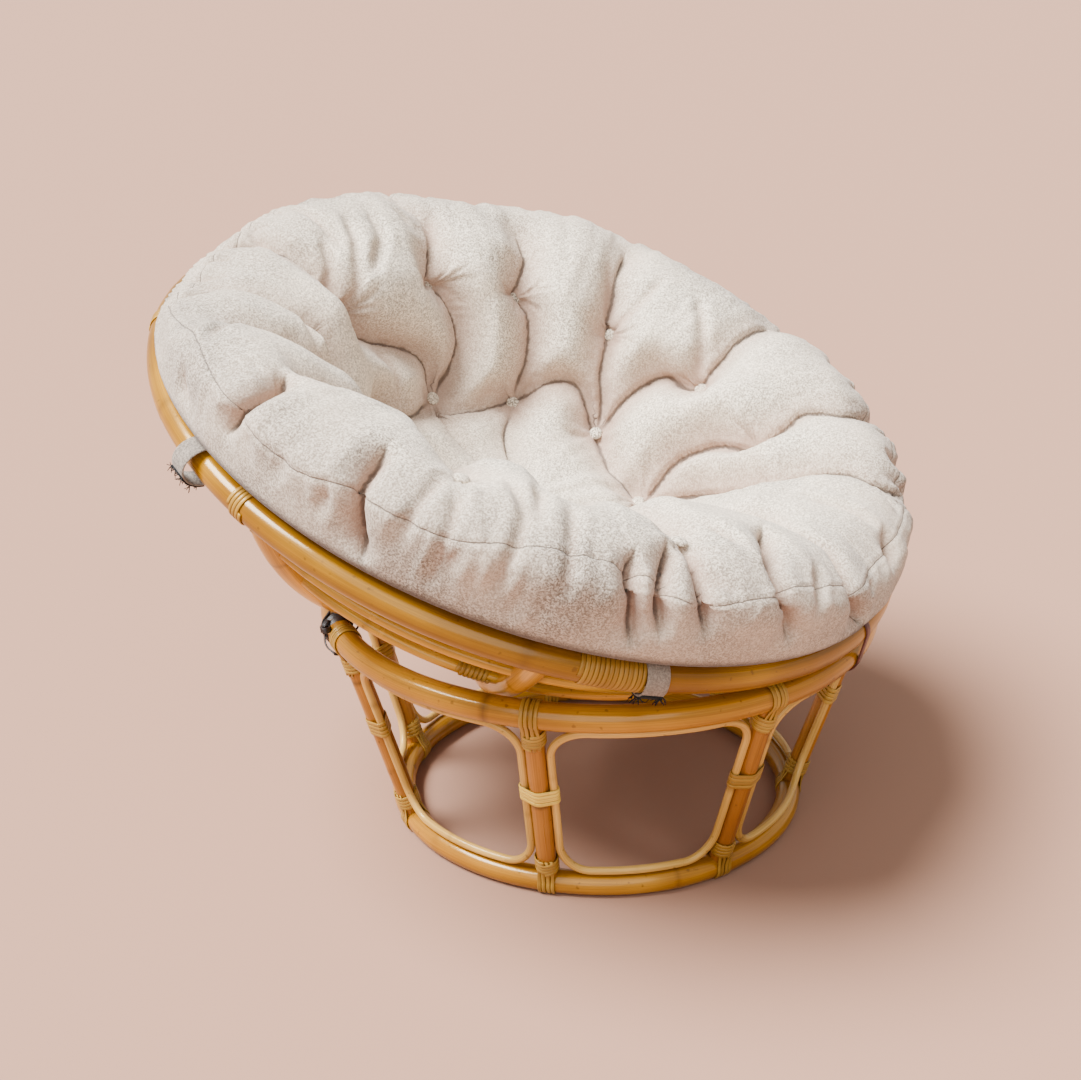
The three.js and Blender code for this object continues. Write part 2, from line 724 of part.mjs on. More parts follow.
function buildChair() {
  const leaning = new THREE.Group();
  leaning.add(buildBowl(), buildCushion());
  leaning.position.z = bowlCentreHeight;
  leaning.setRotationFromAxisAngle(tiltAxis, bowlTilt);
  const chair = new THREE.Group();
  chair.add(buildStand(), leaning, buildTies());
  const box = new THREE.Box3().setFromObject(chair, true);
  const middle = box.getCenter(new THREE.Vector3());
  chair.position.set(-middle.x, -middle.y, -box.min.z);
  chair.updateMatrixWorld(true);
  const centre = chair.position.clone().addScaledVector(upZ, bowlCentreHeight);
  console.log(`bowl centre ${centre.toArray().map((value) => value.toFixed(3)).join(' ')} mm`);
  console.log(`tilt ${THREE.MathUtils.radToDeg(bowlTilt).toFixed(3)} degrees`);
  return chair;
}

const chair = buildChair();

export default chair;
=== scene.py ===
import json
import math
import time
import random

import bmesh
import bpy
import numpy as np
from mathutils import Matrix, Vector, geometry, kdtree, noise
from mathutils.bvhtree import BVHTree


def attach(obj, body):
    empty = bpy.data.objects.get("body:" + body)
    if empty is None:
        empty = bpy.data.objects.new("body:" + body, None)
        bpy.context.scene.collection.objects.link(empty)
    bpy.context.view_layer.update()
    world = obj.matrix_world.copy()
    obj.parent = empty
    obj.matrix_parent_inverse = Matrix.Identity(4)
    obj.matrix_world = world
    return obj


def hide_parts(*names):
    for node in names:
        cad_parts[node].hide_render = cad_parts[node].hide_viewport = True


# Papasan chair: a tufted cushion in a rattan bowl that leans on a ring stand.
# Metres, +Z up, front at -Y. Bearings are degrees from the front, towards +X.

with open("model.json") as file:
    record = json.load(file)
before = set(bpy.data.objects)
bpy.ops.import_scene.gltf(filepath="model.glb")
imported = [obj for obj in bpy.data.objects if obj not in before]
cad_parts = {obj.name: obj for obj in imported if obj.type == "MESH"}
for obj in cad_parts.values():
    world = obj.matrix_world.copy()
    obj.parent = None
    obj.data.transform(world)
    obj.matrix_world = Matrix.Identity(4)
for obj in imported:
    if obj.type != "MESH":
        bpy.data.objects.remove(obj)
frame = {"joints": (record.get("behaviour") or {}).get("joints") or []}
begun = time.time()
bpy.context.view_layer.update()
random.seed(11)

joints = {joint["name"]: joint for joint in frame["joints"]}
bowlCentre = Vector(joints["bowl_tilt"]["pos_m"])
liftAxis = Vector(joints["cushion_lift"]["axis"])
bowlTilt = math.atan2(-liftAxis.y, liftAxis.z)
standPlace = Matrix.Translation((bowlCentre.x, bowlCentre.y, 0))
bowlPlace = Matrix.Translation(bowlCentre) @ Matrix.Rotation(bowlTilt, 4, "X")

standSizes = {
    "topRadius": 0.380, "topTube": 0.0183, "topHeight": 0.315,
    "bottomRadius": 0.288, "bottomTube": 0.017,
    "uprightTube": 0.0135, "uprights": [26, 77, 135, 194, 235, 287, 335],
    "loopTube": 0.0056, "loopCorner": 0.045, "bandShare": 0.55,
}
bowlSizes = {
    "rimRadius": 0.530, "rimTube": 0.0203, "ribTube": 0.018, "ribInset": 0.014, "depth": 0.306,
    "ribs": [35 + 45 * i for i in range(8)], "footShare": 0.178,
    "midTube": 0.008, "midShares": [0.895, 0.702], "hubTube": 0.010, "hubShare": 0.226, "gap": 0.0003,
    "sideTube": 0.0085, "sideShares": [0.832, 0.705], "sideInset": 0.002,
}
strandSizes = {"width": 0.0054, "thickness": 0.0017, "gap": 0.0003}


def around(bearing, radius, height):
    angle = math.radians(bearing)
    return Vector((radius * math.sin(angle), -radius * math.cos(angle), height))


def onSphere(bearing, polar, radius):
    return around(bearing, radius * math.sin(polar), -radius * math.cos(polar))


ribReach = bowlSizes["rimRadius"] - bowlSizes["ribInset"]
rimDrop = (ribReach ** 2 - bowlSizes["depth"] ** 2) / (2 * bowlSizes["depth"])
ribSphere = rimDrop + bowlSizes["depth"]
rimPolar = math.atan2(bowlSizes["rimRadius"], rimDrop)
innerSphere = ribSphere - bowlSizes["ribTube"] - bowlSizes["gap"]


# Node trees

def newMaterial(name):
    material = bpy.data.materials.new(name)
    material.use_nodes = True
    tree = material.node_tree
    tree.nodes.clear()
    output = tree.nodes.new("ShaderNodeOutputMaterial")
    shader = tree.nodes.new("ShaderNodeBsdfPrincipled")
    tree.links.new(shader.outputs["BSDF"], output.inputs["Surface"])
    return material, tree, shader


def addNode(tree, kind, values=None, inputs=None):
    node = tree.nodes.new(kind)
    for key, value in (values or {}).items():
        setattr(node, key, value)
    for key, value in (inputs or {}).items():
        if isinstance(value, bpy.types.NodeSocket):
            tree.links.new(value, node.inputs[key])
        else:
            node.inputs[key].default_value = value
    return node


def mathNode(tree, operation, first, second=0.0, third=0.0):
    node = tree.nodes.new("ShaderNodeMath")
    node.operation = operation
    for socket, value in zip(node.inputs, (first, second, third)):
        if isinstance(value, bpy.types.NodeSocket):
            tree.links.new(value, socket)
        else:
            socket.default_value = value
    return node.outputs[0]


def mixColour(tree, factor, first, second, blend="MIX"):
    node = tree.nodes.new("ShaderNodeMix")
    node.data_type = "RGBA"
    node.blend_type = blend
    for socket, value in ((node.inputs[0], factor), (node.inputs[6], first), (node.inputs[7], second)):
        if isinstance(value, bpy.types.NodeSocket):
            tree.links.new(value, socket)
        else:
            socket.default_value = (*value, 1) if isinstance(value, tuple) else value
    return node.outputs[2]


def rampNode(tree, factor, stops):
    node = tree.nodes.new("ShaderNodeValToRGB")
    tree.links.new(factor, node.inputs["Fac"])
    ramp = node.color_ramp
    while len(ramp.elements) < len(stops):
        ramp.elements.new(0.5)
    for element, (position, value) in zip(ramp.elements, stops):
        element.position = position
        element.color = (*value, 1) if isinstance(value, tuple) else (value, value, value, 1)
    return node.outputs["Color"]


def noiseValue(tree, vector, scale, detail=3.0, roughness=0.55):
    node = addNode(tree, "ShaderNodeTexNoise", inputs={
        "Vector": vector, "Scale": scale, "Detail": detail, "Roughness": roughness})
    return node.outputs["Fac"]


# Rattan and cane: the grain attribute runs along each pole, the knot attribute marks its nodes

def rattanMaterial(name, look):
    material, tree, shader = newMaterial(name)
    grain = addNode(tree, "ShaderNodeAttribute", {"attribute_name": "grain"}).outputs["Vector"]
    knot = addNode(tree, "ShaderNodeAttribute", {"attribute_name": "knot"}).outputs["Fac"]
    place = addNode(tree, "ShaderNodeTexCoord").outputs["Object"]
    fibres = addNode(tree, "ShaderNodeVectorMath", {"operation": "MULTIPLY"}, {
        0: grain, 1: look["fibreScale"]}).outputs["Vector"]
    longStreaks = addNode(tree, "ShaderNodeVectorMath", {"operation": "MULTIPLY"}, {
        0: grain, 1: look["streakScale"]}).outputs["Vector"]
    fine = noiseValue(tree, fibres, 1.0, 2.0)
    streak = noiseValue(tree, longStreaks, 1.0, 3.0)
    broad = noiseValue(tree, place, look["broadScale"], 2.0)
    colour = mixColour(tree, rampNode(tree, broad, [(0.36, 0.0), (0.64, 1.0)]), look["dark"], look["light"])
    colour = mixColour(tree, rampNode(tree, streak, [(0.42, 0.0), (0.72, look["streaks"])]),
                       colour, look["streakColour"])
    colour = mixColour(tree, rampNode(tree, fine, [(0.35, look["fibres"]), (0.6, 0.0)]),
                       colour, look["streakColour"])
    specks = noiseValue(tree, place, look["speckScale"], 1.0)
    colour = mixColour(tree, rampNode(tree, specks, [(0.70, 0.0), (0.76, look["specks"])]),
                       colour, look["speckColour"])
    colour = mixColour(tree, mathNode(tree, "MULTIPLY", knot, look["knots"]), colour, look["speckColour"])
    tree.links.new(colour, shader.inputs["Base Color"])
    rough = mathNode(tree, "MULTIPLY_ADD", streak, look["roughSpread"], look["rough"])
    tree.links.new(rough, shader.inputs["Roughness"])
    height = mathNode(tree, "MULTIPLY_ADD", fine, 0.5, mathNode(tree, "MULTIPLY", streak, 0.8))
    height = mathNode(tree, "SUBTRACT", height, mathNode(tree, "MULTIPLY", knot, 0.7))
    bump = addNode(tree, "ShaderNodeBump", inputs={
        "Height": height, "Strength": look["bump"], "Distance": 0.0006})
    tree.links.new(bump.outputs["Normal"], shader.inputs["Normal"])
    shader.inputs["Coat Weight"].default_value = look["coat"]
    shader.inputs["Coat Roughness"].default_value = 0.16
    shader.inputs["Coat Tint"].default_value = look["shine"]
    shader.inputs["Specular Tint"].default_value = look["shine"]
    shader.inputs["Specular IOR Level"].default_value = 0.5
    return material


rattanLook = {
    "light": (0.37, 0.205, 0.002), "dark": (0.19, 0.088, 0.001), "streakColour": (0.10, 0.038, 0.002),
    "speckColour": (0.05, 0.018, 0.006), "fibreScale": (9.0, 900.0, 900.0), "streakScale": (3.0, 110.0, 110.0),
    "broadScale": 5.5, "speckScale": 95.0, "streaks": 0.5, "fibres": 0.36, "specks": 0.5, "knots": 0.8,
    "rough": 0.22, "roughSpread": 0.16, "bump": 0.45, "coat": 0.6, "shine": (1.0, 0.76, 0.26, 1.0),
}
standLook = dict(rattanLook, light=(0.52, 0.28, 0.020), dark=(0.31, 0.145, 0.010), streaks=0.5)
uprightLook = dict(rattanLook, light=(0.44, 0.20, 0.035), dark=(0.27, 0.105, 0.016), streaks=0.5, coat=0.5)
caneLook = dict(rattanLook, light=(0.74, 0.50, 0.17), dark=(0.52, 0.33, 0.09), streaks=0.3, coat=0.4,
                rough=0.32, knots=0.4)
strandLook = dict(rattanLook, light=(0.52, 0.34, 0.075), dark=(0.30, 0.165, 0.028), streaks=0.45, coat=0.3,
                  rough=0.38, specks=0.2)
strawLook = dict(strandLook, light=(0.84, 0.64, 0.14), dark=(0.72, 0.50, 0.08), streaks=0.15)
# painted light: the ribs, rods and rings under the rim get a much paler copy of the rattan that stands in for light
# in their shade
underRimLitLook = dict(rattanLook, light=(0.78, 0.50, 0.07), dark=(0.56, 0.33, 0.04), streaks=0.45)

rimRattan = rattanMaterial("goldenRattan", rattanLook)
standRattan = rattanMaterial("standRattan", standLook)
uprightRattan = rattanMaterial("uprightRattan", uprightLook)
paleCane = rattanMaterial("paleCane", caneLook)
boundCane = rattanMaterial("boundCane", strandLook)
strawCane = rattanMaterial("strawCane", strawLook)
underRimLitRattan = rattanMaterial("underRimLitBowlRattan", underRimLitLook)
print("scene: rattan materials made")


# Sweeps

def roundSection(radius, sides):
    return [(radius * math.cos(2 * math.pi * i / sides), radius * math.sin(2 * math.pi * i / sides))
            for i in range(sides)]


def strandSection(width, thickness):
    # flat underneath, crowned on top
    shares = [(-0.5, -0.5), (0.5, -0.5), (0.47, 0.1), (0.3, 0.42), (0, 0.5), (-0.3, 0.42), (-0.47, 0.1)]
    return [(a * width, b * thickness) for a, b in shares]


def bandSection(width, thickness):
    # a flat strap with softened edges
    shares = [(-0.5, -0.2), (-0.46, -0.5), (0, -0.5), (0.46, -0.5), (0.5, -0.2), (0.5, 0.2), (0.46, 0.5),
              (0.23, 0.5), (0, 0.5), (-0.23, 0.5), (-0.46, 0.5), (-0.5, 0.2)]
    return [(a * width, b * thickness) for a, b in shares]


def framed(points, outs, closed=False):
    # turns places and outward directions into stations with a side and an out square to the run
    stations = []
    last = len(points) - 1
    for i, (point, out) in enumerate(zip(points, outs)):
        before = points[i - 1] if i > 0 else points[last if closed else 0]
        after = points[i + 1] if i < last else points[0 if closed else last]
        run = (after - before).normalized()
        side = out.cross(run).normalized()
        stations.append((point, side, run.cross(side).normalized()))
    return stations


def sweepInto(mesh, stations, section, closed=False, knots=(), wobble=0.0, seedShift=0.0):
    # extrudes the section from station to station in one bmesh
    grain = mesh.verts.layers.float_vector.get("grain") or mesh.verts.layers.float_vector.new("grain")
    knotLayer = mesh.verts.layers.float.get("knot") or mesh.verts.layers.float.new("knot")
    count = len(section)
    ring, edges, firstEdges, along, previous = [], [], [], 0.0, None
    for index, (place, side, out) in enumerate(stations):
        if previous is not None:
            along += (place - previous).length
        previous = place
        swell = sum(math.exp(-((along - spot) / 0.007) ** 2) for spot in knots)
        mark = min(1.0, sum(math.exp(-((along - spot) / 0.0022) ** 2) for spot in knots))
        grow = 1 + wobble * noise.noise(Vector((along * 6, seedShift, 0))) + 0.03 * swell - 0.02 * mark
        if index == 0:
            ring = [mesh.verts.new(place) for _ in section]
            edges = [mesh.edges.new((ring[k], ring[(k + 1) % count])) for k in range(count)]
            firstEdges = edges
        else:
            made = bmesh.ops.extrude_edge_only(mesh, edges=edges)["geom"]
            ring = [item for item in made if isinstance(item, bmesh.types.BMVert)]
            edges = [mesh.edges.get((ring[k], ring[(k + 1) % count])) for k in range(count)]
        for (a, b), vert in zip(section, ring):
            vert.co = place + side * (a * grow) + out * (b * grow)
            vert[grain] = Vector((along + seedShift, a, b))
            vert[knotLayer] = mark
    if closed:
        bmesh.ops.bridge_loops(mesh, edges=list(firstEdges) + list(edges))
    else:
        bmesh.ops.edgeloop_fill(mesh, edges=firstEdges)
        bmesh.ops.edgeloop_fill(mesh, edges=edges)


def finishPiece(mesh, name, material, body, nodes=(), place=None, smooth=True):
    bmesh.ops.recalc_face_normals(mesh, faces=mesh.faces)
    if place is not None:
        bmesh.ops.transform(mesh, matrix=place, verts=mesh.verts)
    data = bpy.data.meshes.new(name)
    mesh.to_mesh(data)
    mesh.free()
    for polygon in data.polygons:
        polygon.use_smooth = smooth
    data.materials.append(material)
    piece = bpy.data.objects.new(name, data)
    bpy.context.collection.objects.link(piece)
    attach(piece, body)
    if nodes:
        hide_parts(*nodes)
    return piece


def knotSpots(length, spacing):
    spots, spot = [], spacing * random.uniform(0.3, 0.9)
    while spot < length - 0.02:
        spots.append(spot)
        spot += spacing * random.uniform(0.75, 1.3)
    return spots


# Rings and ribs

poleDetail = {"ringSteps": 288, "ribSteps": 72, "sides": 24, "thinSides": 16, "spacing": 0.30, "wobble": 0.03}


def ringStations(radius, height, startBearing, steps, outOf=None):
    points, outs = [], []
    for i in range(steps):
        bearing = startBearing + 360 * i / steps
        drift = 0.0007 * noise.noise(around(bearing, 3, height * 9))
        points.append(around(bearing, radius + drift, height))
        outs.append(around(bearing, 1, 0))
    return framed(points, outs, True)


def ringPole(name, node, radius, height, tube, start, material, body, place, spacing, sides):
    mesh = bmesh.new()
    stations = ringStations(radius, height, start, poleDetail["ringSteps"])
    spots = knotSpots(2 * math.pi * radius, spacing)
    sweepInto(mesh, stations, roundSection(tube, sides), True, spots, poleDetail["wobble"], random.uniform(0, 9))
    return finishPiece(mesh, name, material, body, [node] if node else (), place)


ringPole("standTopRing", "base_top_ring", standSizes["topRadius"], standSizes["topHeight"],
         standSizes["topTube"], 26, standRattan, "base", standPlace, 0.34, poleDetail["sides"])
ringPole("standBottomRing", "base_bottom_ring", standSizes["bottomRadius"], standSizes["bottomTube"],
         standSizes["bottomTube"] - 0.0002, 335, standRattan, "base", standPlace, 0.31, poleDetail["sides"])
ringPole("bowlRim", "bowl_rim", bowlSizes["rimRadius"], -rimDrop, bowlSizes["rimTube"], 312, rimRattan,
         "bowl", bowlPlace, 0.36, poleDetail["sides"])
for number, share in enumerate(bowlSizes["midShares"], 1):
    radius = innerSphere - bowlSizes["midTube"]
    polar = rimPolar * share
    ringPole(f"bowlMidRing{number}", f"bowl_mid_ring_{number}", radius * math.sin(polar),
             -radius * math.cos(polar), bowlSizes["midTube"], 299, underRimLitRattan, "bowl", bowlPlace, 0.25,
             poleDetail["thinSides"])
for number, share in enumerate(bowlSizes["sideShares"], 1):
    # rods between the ribs, just under the rim
    radius = ribSphere - bowlSizes["sideInset"]
    polar = rimPolar * share
    ringPole(f"bowlSideRod{number}", None, radius * math.sin(polar), -radius * math.cos(polar),
             bowlSizes["sideTube"], 281, underRimLitRattan, "bowl", bowlPlace, 0.25, poleDetail["thinSides"])
hubRadius = innerSphere - bowlSizes["hubTube"]
hubPolar = rimPolar * bowlSizes["hubShare"]
ringPole("bowlHubRing", "bowl_hub_ring", hubRadius * math.sin(hubPolar), -hubRadius * math.cos(hubPolar),
         bowlSizes["hubTube"], 35, underRimLitRattan, "bowl", bowlPlace, 0.3, poleDetail["thinSides"])
for number, bearing in enumerate(bowlSizes["ribs"], 1):
    first, last = rimPolar * bowlSizes["footShare"], rimPolar - 0.014 / ribSphere
    polars = [first + (last - first) * i / poleDetail["ribSteps"] for i in range(poleDetail["ribSteps"] + 1)]
    points = [onSphere(bearing, polar, ribSphere) for polar in polars]
    outs = [onSphere(bearing, polar, 1) for polar in polars]
    mesh = bmesh.new()
    sweepInto(mesh, framed(points, outs), roundSection(bowlSizes["ribTube"], poleDetail["sides"]), False,
              knotSpots(0.54, 0.24), poleDetail["wobble"], random.uniform(0, 9))
    finishPiece(mesh, f"bowlRib{number}", underRimLitRattan, "bowl", [f"bowl_rib_{number}"], bowlPlace)
print("scene: rings and ribs made")


# Stand: uprights and bent cane loops

def uprightLine(bearing):
    foot = around(bearing, standSizes["bottomRadius"], standSizes["bottomTube"])
    head = around(bearing, standSizes["topRadius"], standSizes["topHeight"])
    along = (head - foot).normalized()
    side = around(bearing + 90, 1, 0)
    return foot, head, along, side, side.cross(along).normalized()


def coneRadius(height):
    share = (height - standSizes["bottomTube"]) / (standSizes["topHeight"] - standSizes["bottomTube"])
    return standSizes["bottomRadius"] + share * (standSizes["topRadius"] - standSizes["bottomRadius"])


loopOffset = standSizes["uprightTube"] + 0.0003 + standSizes["loopTube"]
coneSlope = math.atan2(standSizes["topRadius"] - standSizes["bottomRadius"],
                       standSizes["topHeight"] - standSizes["bottomTube"])
loopDetail = {"ringRoom": 0.0012, "cornerSteps": 14, "straightStep": 0.008}


def loopOutline(halfWidth, low, high):
    corner = standSizes["loopCorner"]
    spots = []
    for sign, height, firstAngle in ((1, low, -90), (1, high, 0), (-1, high, 90), (-1, low, 180)):
        inward = corner if height == low else -corner
        for i in range(loopDetail["cornerSteps"] + 1):
            angle = math.radians(firstAngle + 90 * i / loopDetail["cornerSteps"])
            spots.append(Vector((sign * (halfWidth - corner) + corner * math.cos(angle),
                                 height + inward + corner * math.sin(angle))))
    full = []
    for spot, following in zip(spots, spots[1:] + spots[:1]):
        pieces = max(1, round((following - spot).length / loopDetail["straightStep"]))
        full += [spot.lerp(following, j / pieces) for j in range(pieces)]
    return full


def panelLoop(number, fromBearing, toBearing):
    room = loopDetail["ringRoom"] + standSizes["loopTube"]
    low = 2 * standSizes["bottomTube"] + room
    high = standSizes["topHeight"] - standSizes["topTube"] - room
    middle, halfAngle = (fromBearing + toBearing) / 2, math.radians((toBearing - fromBearing) / 2)

    def sideAngle(height):
        return halfAngle - math.asin(loopOffset / coneRadius(height))
    midHeight = (low + high) / 2
    halfWidth = coneRadius(midHeight) * sideAngle(midHeight)
    points, outs = [], []
    for x, z in loopOutline(halfWidth, low, high):
        bearing = middle + math.degrees(sideAngle(z) * x / halfWidth)
        points.append(around(bearing, coneRadius(z), z))
        outs.append(around(bearing, math.cos(coneSlope), -math.sin(coneSlope)))
    mesh = bmesh.new()
    sweepInto(mesh, framed(points, outs, True), roundSection(standSizes["loopTube"], 12), True,
              knotSpots(0.9, 0.22), poleDetail["wobble"], random.uniform(0, 9))
    finishPiece(mesh, f"caneLoop{number}", paleCane, "base", [f"panel_loop_{number}"], standPlace)


def uprightPole(number, bearing):
    foot, head, along, side, out = uprightLine(bearing)
    length = (head - foot).length
    steps = 48
    points = [foot + along * (0.008 + (length - 0.016) * i / steps) for i in range(steps + 1)]
    mesh = bmesh.new()
    sweepInto(mesh, framed(points, [out] * (steps + 1)), roundSection(standSizes["uprightTube"], 20), False,
              knotSpots(length, 0.19), poleDetail["wobble"], random.uniform(0, 9))
    finishPiece(mesh, f"uprightPole{number}", uprightRattan, "base", [f"upright_{number}"], standPlace)


# Cane bindings

def coilStations(origin, axis, side, out, reachOut, reachSide, start, turns, pitch, steps=28):
    points, outs = [], []
    for i in range(int(turns * steps) + 1):
        angle = 2 * math.pi * i / steps
        facing = out * math.cos(angle) + side * math.sin(angle)
        reach = out * (reachOut * math.cos(angle)) + side * (reachSide * math.sin(angle))
        points.append(origin + axis * (start + pitch * i / steps) + reach)
        outs.append(facing)
    return framed(points, outs)


def ringBinding(number, bearing, atTop):
    foot, head, along, side, out = uprightLine(bearing)
    origin, away = (head, -along) if atTop else (foot, along)
    tube = standSizes["topTube"] if atTop else standSizes["bottomTube"]
    lay = strandSizes["thickness"] / 2 + strandSizes["gap"]
    reach = tube + lay + (0.0004 if atTop else 0)
    upright = standSizes["uprightTube"] + lay
    mesh = bmesh.new()
    section = strandSection(strandSizes["width"], strandSizes["thickness"])
    spread = (-0.0092, -0.0033, 0.0033, 0.0092)
    for sideways in spread:
        drop = upright - math.sqrt(upright ** 2 - sideways ** 2)
        if atTop:
            angles = [math.radians(58 + 6 * i) for i in range(41)]
            arc = [(out * math.sin(a) + away * math.cos(a)) for a in angles]
            leg = [0.052, 0.044, 0.036, 0.029]
            points = [origin + side * sideways + out * (upright - drop) + away * d for d in leg]
            points += [origin + side * sideways + facing * reach for facing in arc]
            points += [origin + side * sideways - out * (upright - drop) + away * d for d in reversed(leg)]
            outs = [out] * len(leg) + arc + [-out] * len(leg)
            sweepInto(mesh, framed(points, outs), section, seedShift=random.uniform(0, 9))
        else:
            for sign in (1, -1):
                turn = math.degrees(coneSlope) * sign
                last = 180 - turn - 34
                angles = [math.radians(58 + (last - 58) * i / 18) for i in range(19)]
                arc = [(out * (sign * math.sin(a)) + away * math.cos(a)) for a in angles]
                leg = [0.050, 0.042, 0.034, 0.028]
                points = [origin + side * sideways + out * (sign * (upright - drop)) + away * d for d in leg]
                points += [origin + side * sideways + facing * reach for facing in arc]
                outs = [out * sign] * len(leg) + arc
                sweepInto(mesh, framed(points, outs), section, seedShift=random.uniform(0, 9))
    coil = standSizes["uprightTube"] + strandSizes["thickness"] * 1.5 + strandSizes["gap"]
    stations = coilStations(origin, away, side, out, coil, coil - 0.0006, 0.0262, 4, 0.0056)
    sweepInto(mesh, stations, section, seedShift=random.uniform(0, 9))
    name = "topBinding" if atTop else "footBinding"
    node = "top_binding" if atTop else "foot_binding"
    finishPiece(mesh, f"{name}{number}", boundCane, "base", [f"{node}_{number}"], standPlace)


def hullPath(circles, offset, step=0.0035):
    # the path of a band drawn tight round circles (x, y, radius)
    spots = []
    for x, y, radius in circles:
        for i in range(72):
            angle = 2 * math.pi * i / 72
            spots.append(Vector((x + (radius + offset) * math.cos(angle), y + (radius + offset) * math.sin(angle))))
    hull = [spots[i] for i in geometry.convex_hull_2d(spots)]
    full = []
    for spot, following in zip(hull, hull[1:] + hull[:1]):
        pieces = max(1, round((following - spot).length / step))
        full += [spot.lerp(following, j / pieces) for j in range(pieces)]
    return full


def hullStations(circles, offset, origin, x, y, slide=None):
    path = hullPath(circles, offset)
    centre = sum(path, Vector((0, 0))) / len(path)
    points = [origin + x * spot.x + y * spot.y for spot in path]
    outs = [(x * (spot - centre).x + y * (spot - centre).y).normalized() for spot in path]
    return framed(points, outs, True)


def middleBand(number, bearing):
    foot, head, along, side, out = uprightLine(bearing)
    centre = foot.lerp(head, standSizes["bandShare"])
    circles = [(0, 0, standSizes["uprightTube"])]
    circles += [(sign * loopOffset, 0, standSizes["loopTube"]) for sign in (-1, 1)]
    mesh = bmesh.new()
    for row in (-1.5, -0.5, 0.5, 1.5):
        origin = centre + along * (row * 0.0063 + random.uniform(-0.0003, 0.0003))
        stations = hullStations(circles, 0.0012 + random.uniform(0, 0.0003), origin, side, out)
        sweepInto(mesh, stations, strandSection(0.0061, 0.0015), True, seedShift=random.uniform(0, 9))
    material = strawCane if bearing == 287 else boundCane
    finishPiece(mesh, f"middleBand{number}", material, "base", [f"middle_band_{number}"], standPlace)


uprightCount = len(standSizes["uprights"])
for number, bearing in enumerate(standSizes["uprights"], 1):
    following = standSizes["uprights"][number % uprightCount]
    uprightPole(number, bearing)
    panelLoop(number, bearing, following if following > bearing else following + 360)
    middleBand(number, bearing)
    ringBinding(number, bearing, True)
    ringBinding(number, bearing, False)
print("scene: stand made")


# Windings on the bowl

def ringCoil(mesh, radius, drop, tube, bearing, turns, pitch, width, steps=28):
    points, outs = [], []
    reach = tube + strandSizes["thickness"] / 2 + strandSizes["gap"]
    for i in range(int(turns * steps) + 1):
        here = bearing + math.degrees(pitch * i / steps / radius)
        angle = 2 * math.pi * i / steps
        facing = around(here, math.cos(angle), math.sin(angle))
        points.append(around(here, radius, -drop) + facing * reach)
        outs.append(facing)
    sweepInto(mesh, framed(points, outs), strandSection(width, strandSizes["thickness"]),
              seedShift=random.uniform(0, 9))


windingSizes = {"spliceBearing": 308.9, "spliceTurns": 14, "splicePitch": 0.0059, "knotBearing": 296,
                "sideKnotBearing": 295.4, "knotTurns": 7, "knotPitch": 0.0058, "ribTurns": 4}

mesh = bmesh.new()
ringCoil(mesh, bowlSizes["rimRadius"], rimDrop, bowlSizes["rimTube"], windingSizes["spliceBearing"],
         windingSizes["spliceTurns"], windingSizes["splicePitch"], 0.0057)
finishPiece(mesh, "spliceWinding", boundCane, "bowl", ["rim_splice_winding"], bowlPlace)
mesh = bmesh.new()
knotRadius = innerSphere - bowlSizes["midTube"]
knotPolar = rimPolar * bowlSizes["midShares"][1]
ringCoil(mesh, knotRadius * math.sin(knotPolar), knotRadius * math.cos(knotPolar), bowlSizes["midTube"],
         windingSizes["knotBearing"], windingSizes["knotTurns"], windingSizes["knotPitch"], 0.0055)
finishPiece(mesh, "midRingWinding", boundCane, "bowl", ["mid_ring_winding"], bowlPlace)
mesh = bmesh.new()
knotRadius = ribSphere - bowlSizes["sideInset"]
knotPolar = rimPolar * bowlSizes["sideShares"][1]
ringCoil(mesh, knotRadius * math.sin(knotPolar), knotRadius * math.cos(knotPolar), bowlSizes["sideTube"],
         windingSizes["sideKnotBearing"], windingSizes["knotTurns"], windingSizes["knotPitch"], 0.0055)
finishPiece(mesh, "sideRodWinding", boundCane, "bowl", place=bowlPlace)


def ribWrap(number, bearing):
    mesh = bmesh.new()
    turns, pitch = windingSizes["ribTurns"], 0.0056
    start = bearing - math.degrees(turns * pitch / 2 / bowlSizes["rimRadius"])
    ringCoil(mesh, bowlSizes["rimRadius"], rimDrop, bowlSizes["rimTube"], start, turns, pitch, 0.0053)
    polar = rimPolar - 0.034 / ribSphere
    origin = onSphere(bearing, polar, ribSphere)
    out = onSphere(bearing, polar, 1)
    along = onSphere(bearing, polar - math.pi / 2, 1)
    side = along.cross(out)
    reach = bowlSizes["ribTube"] + strandSizes["thickness"] / 2 + strandSizes["gap"]
    stations = coilStations(origin, along, side, out, reach, reach, -0.006, 3, 0.0056)
    sweepInto(mesh, stations, strandSection(0.0053, strandSizes["thickness"]), seedShift=random.uniform(0, 9))
    finishPiece(mesh, f"ribWrap{number}", boundCane, "bowl", place=bowlPlace)


for number, bearing in enumerate(bowlSizes["ribs"], 1):
    if bearing not in (305, 350):
        ribWrap(number, bearing)
print("scene: bowl windings made")


# Cushion: each row of its section holds a radius, a height above the rim's plane, how far the lumps
# stand out there (mm), and how much the row follows the edge's sag at the back and rise at the front

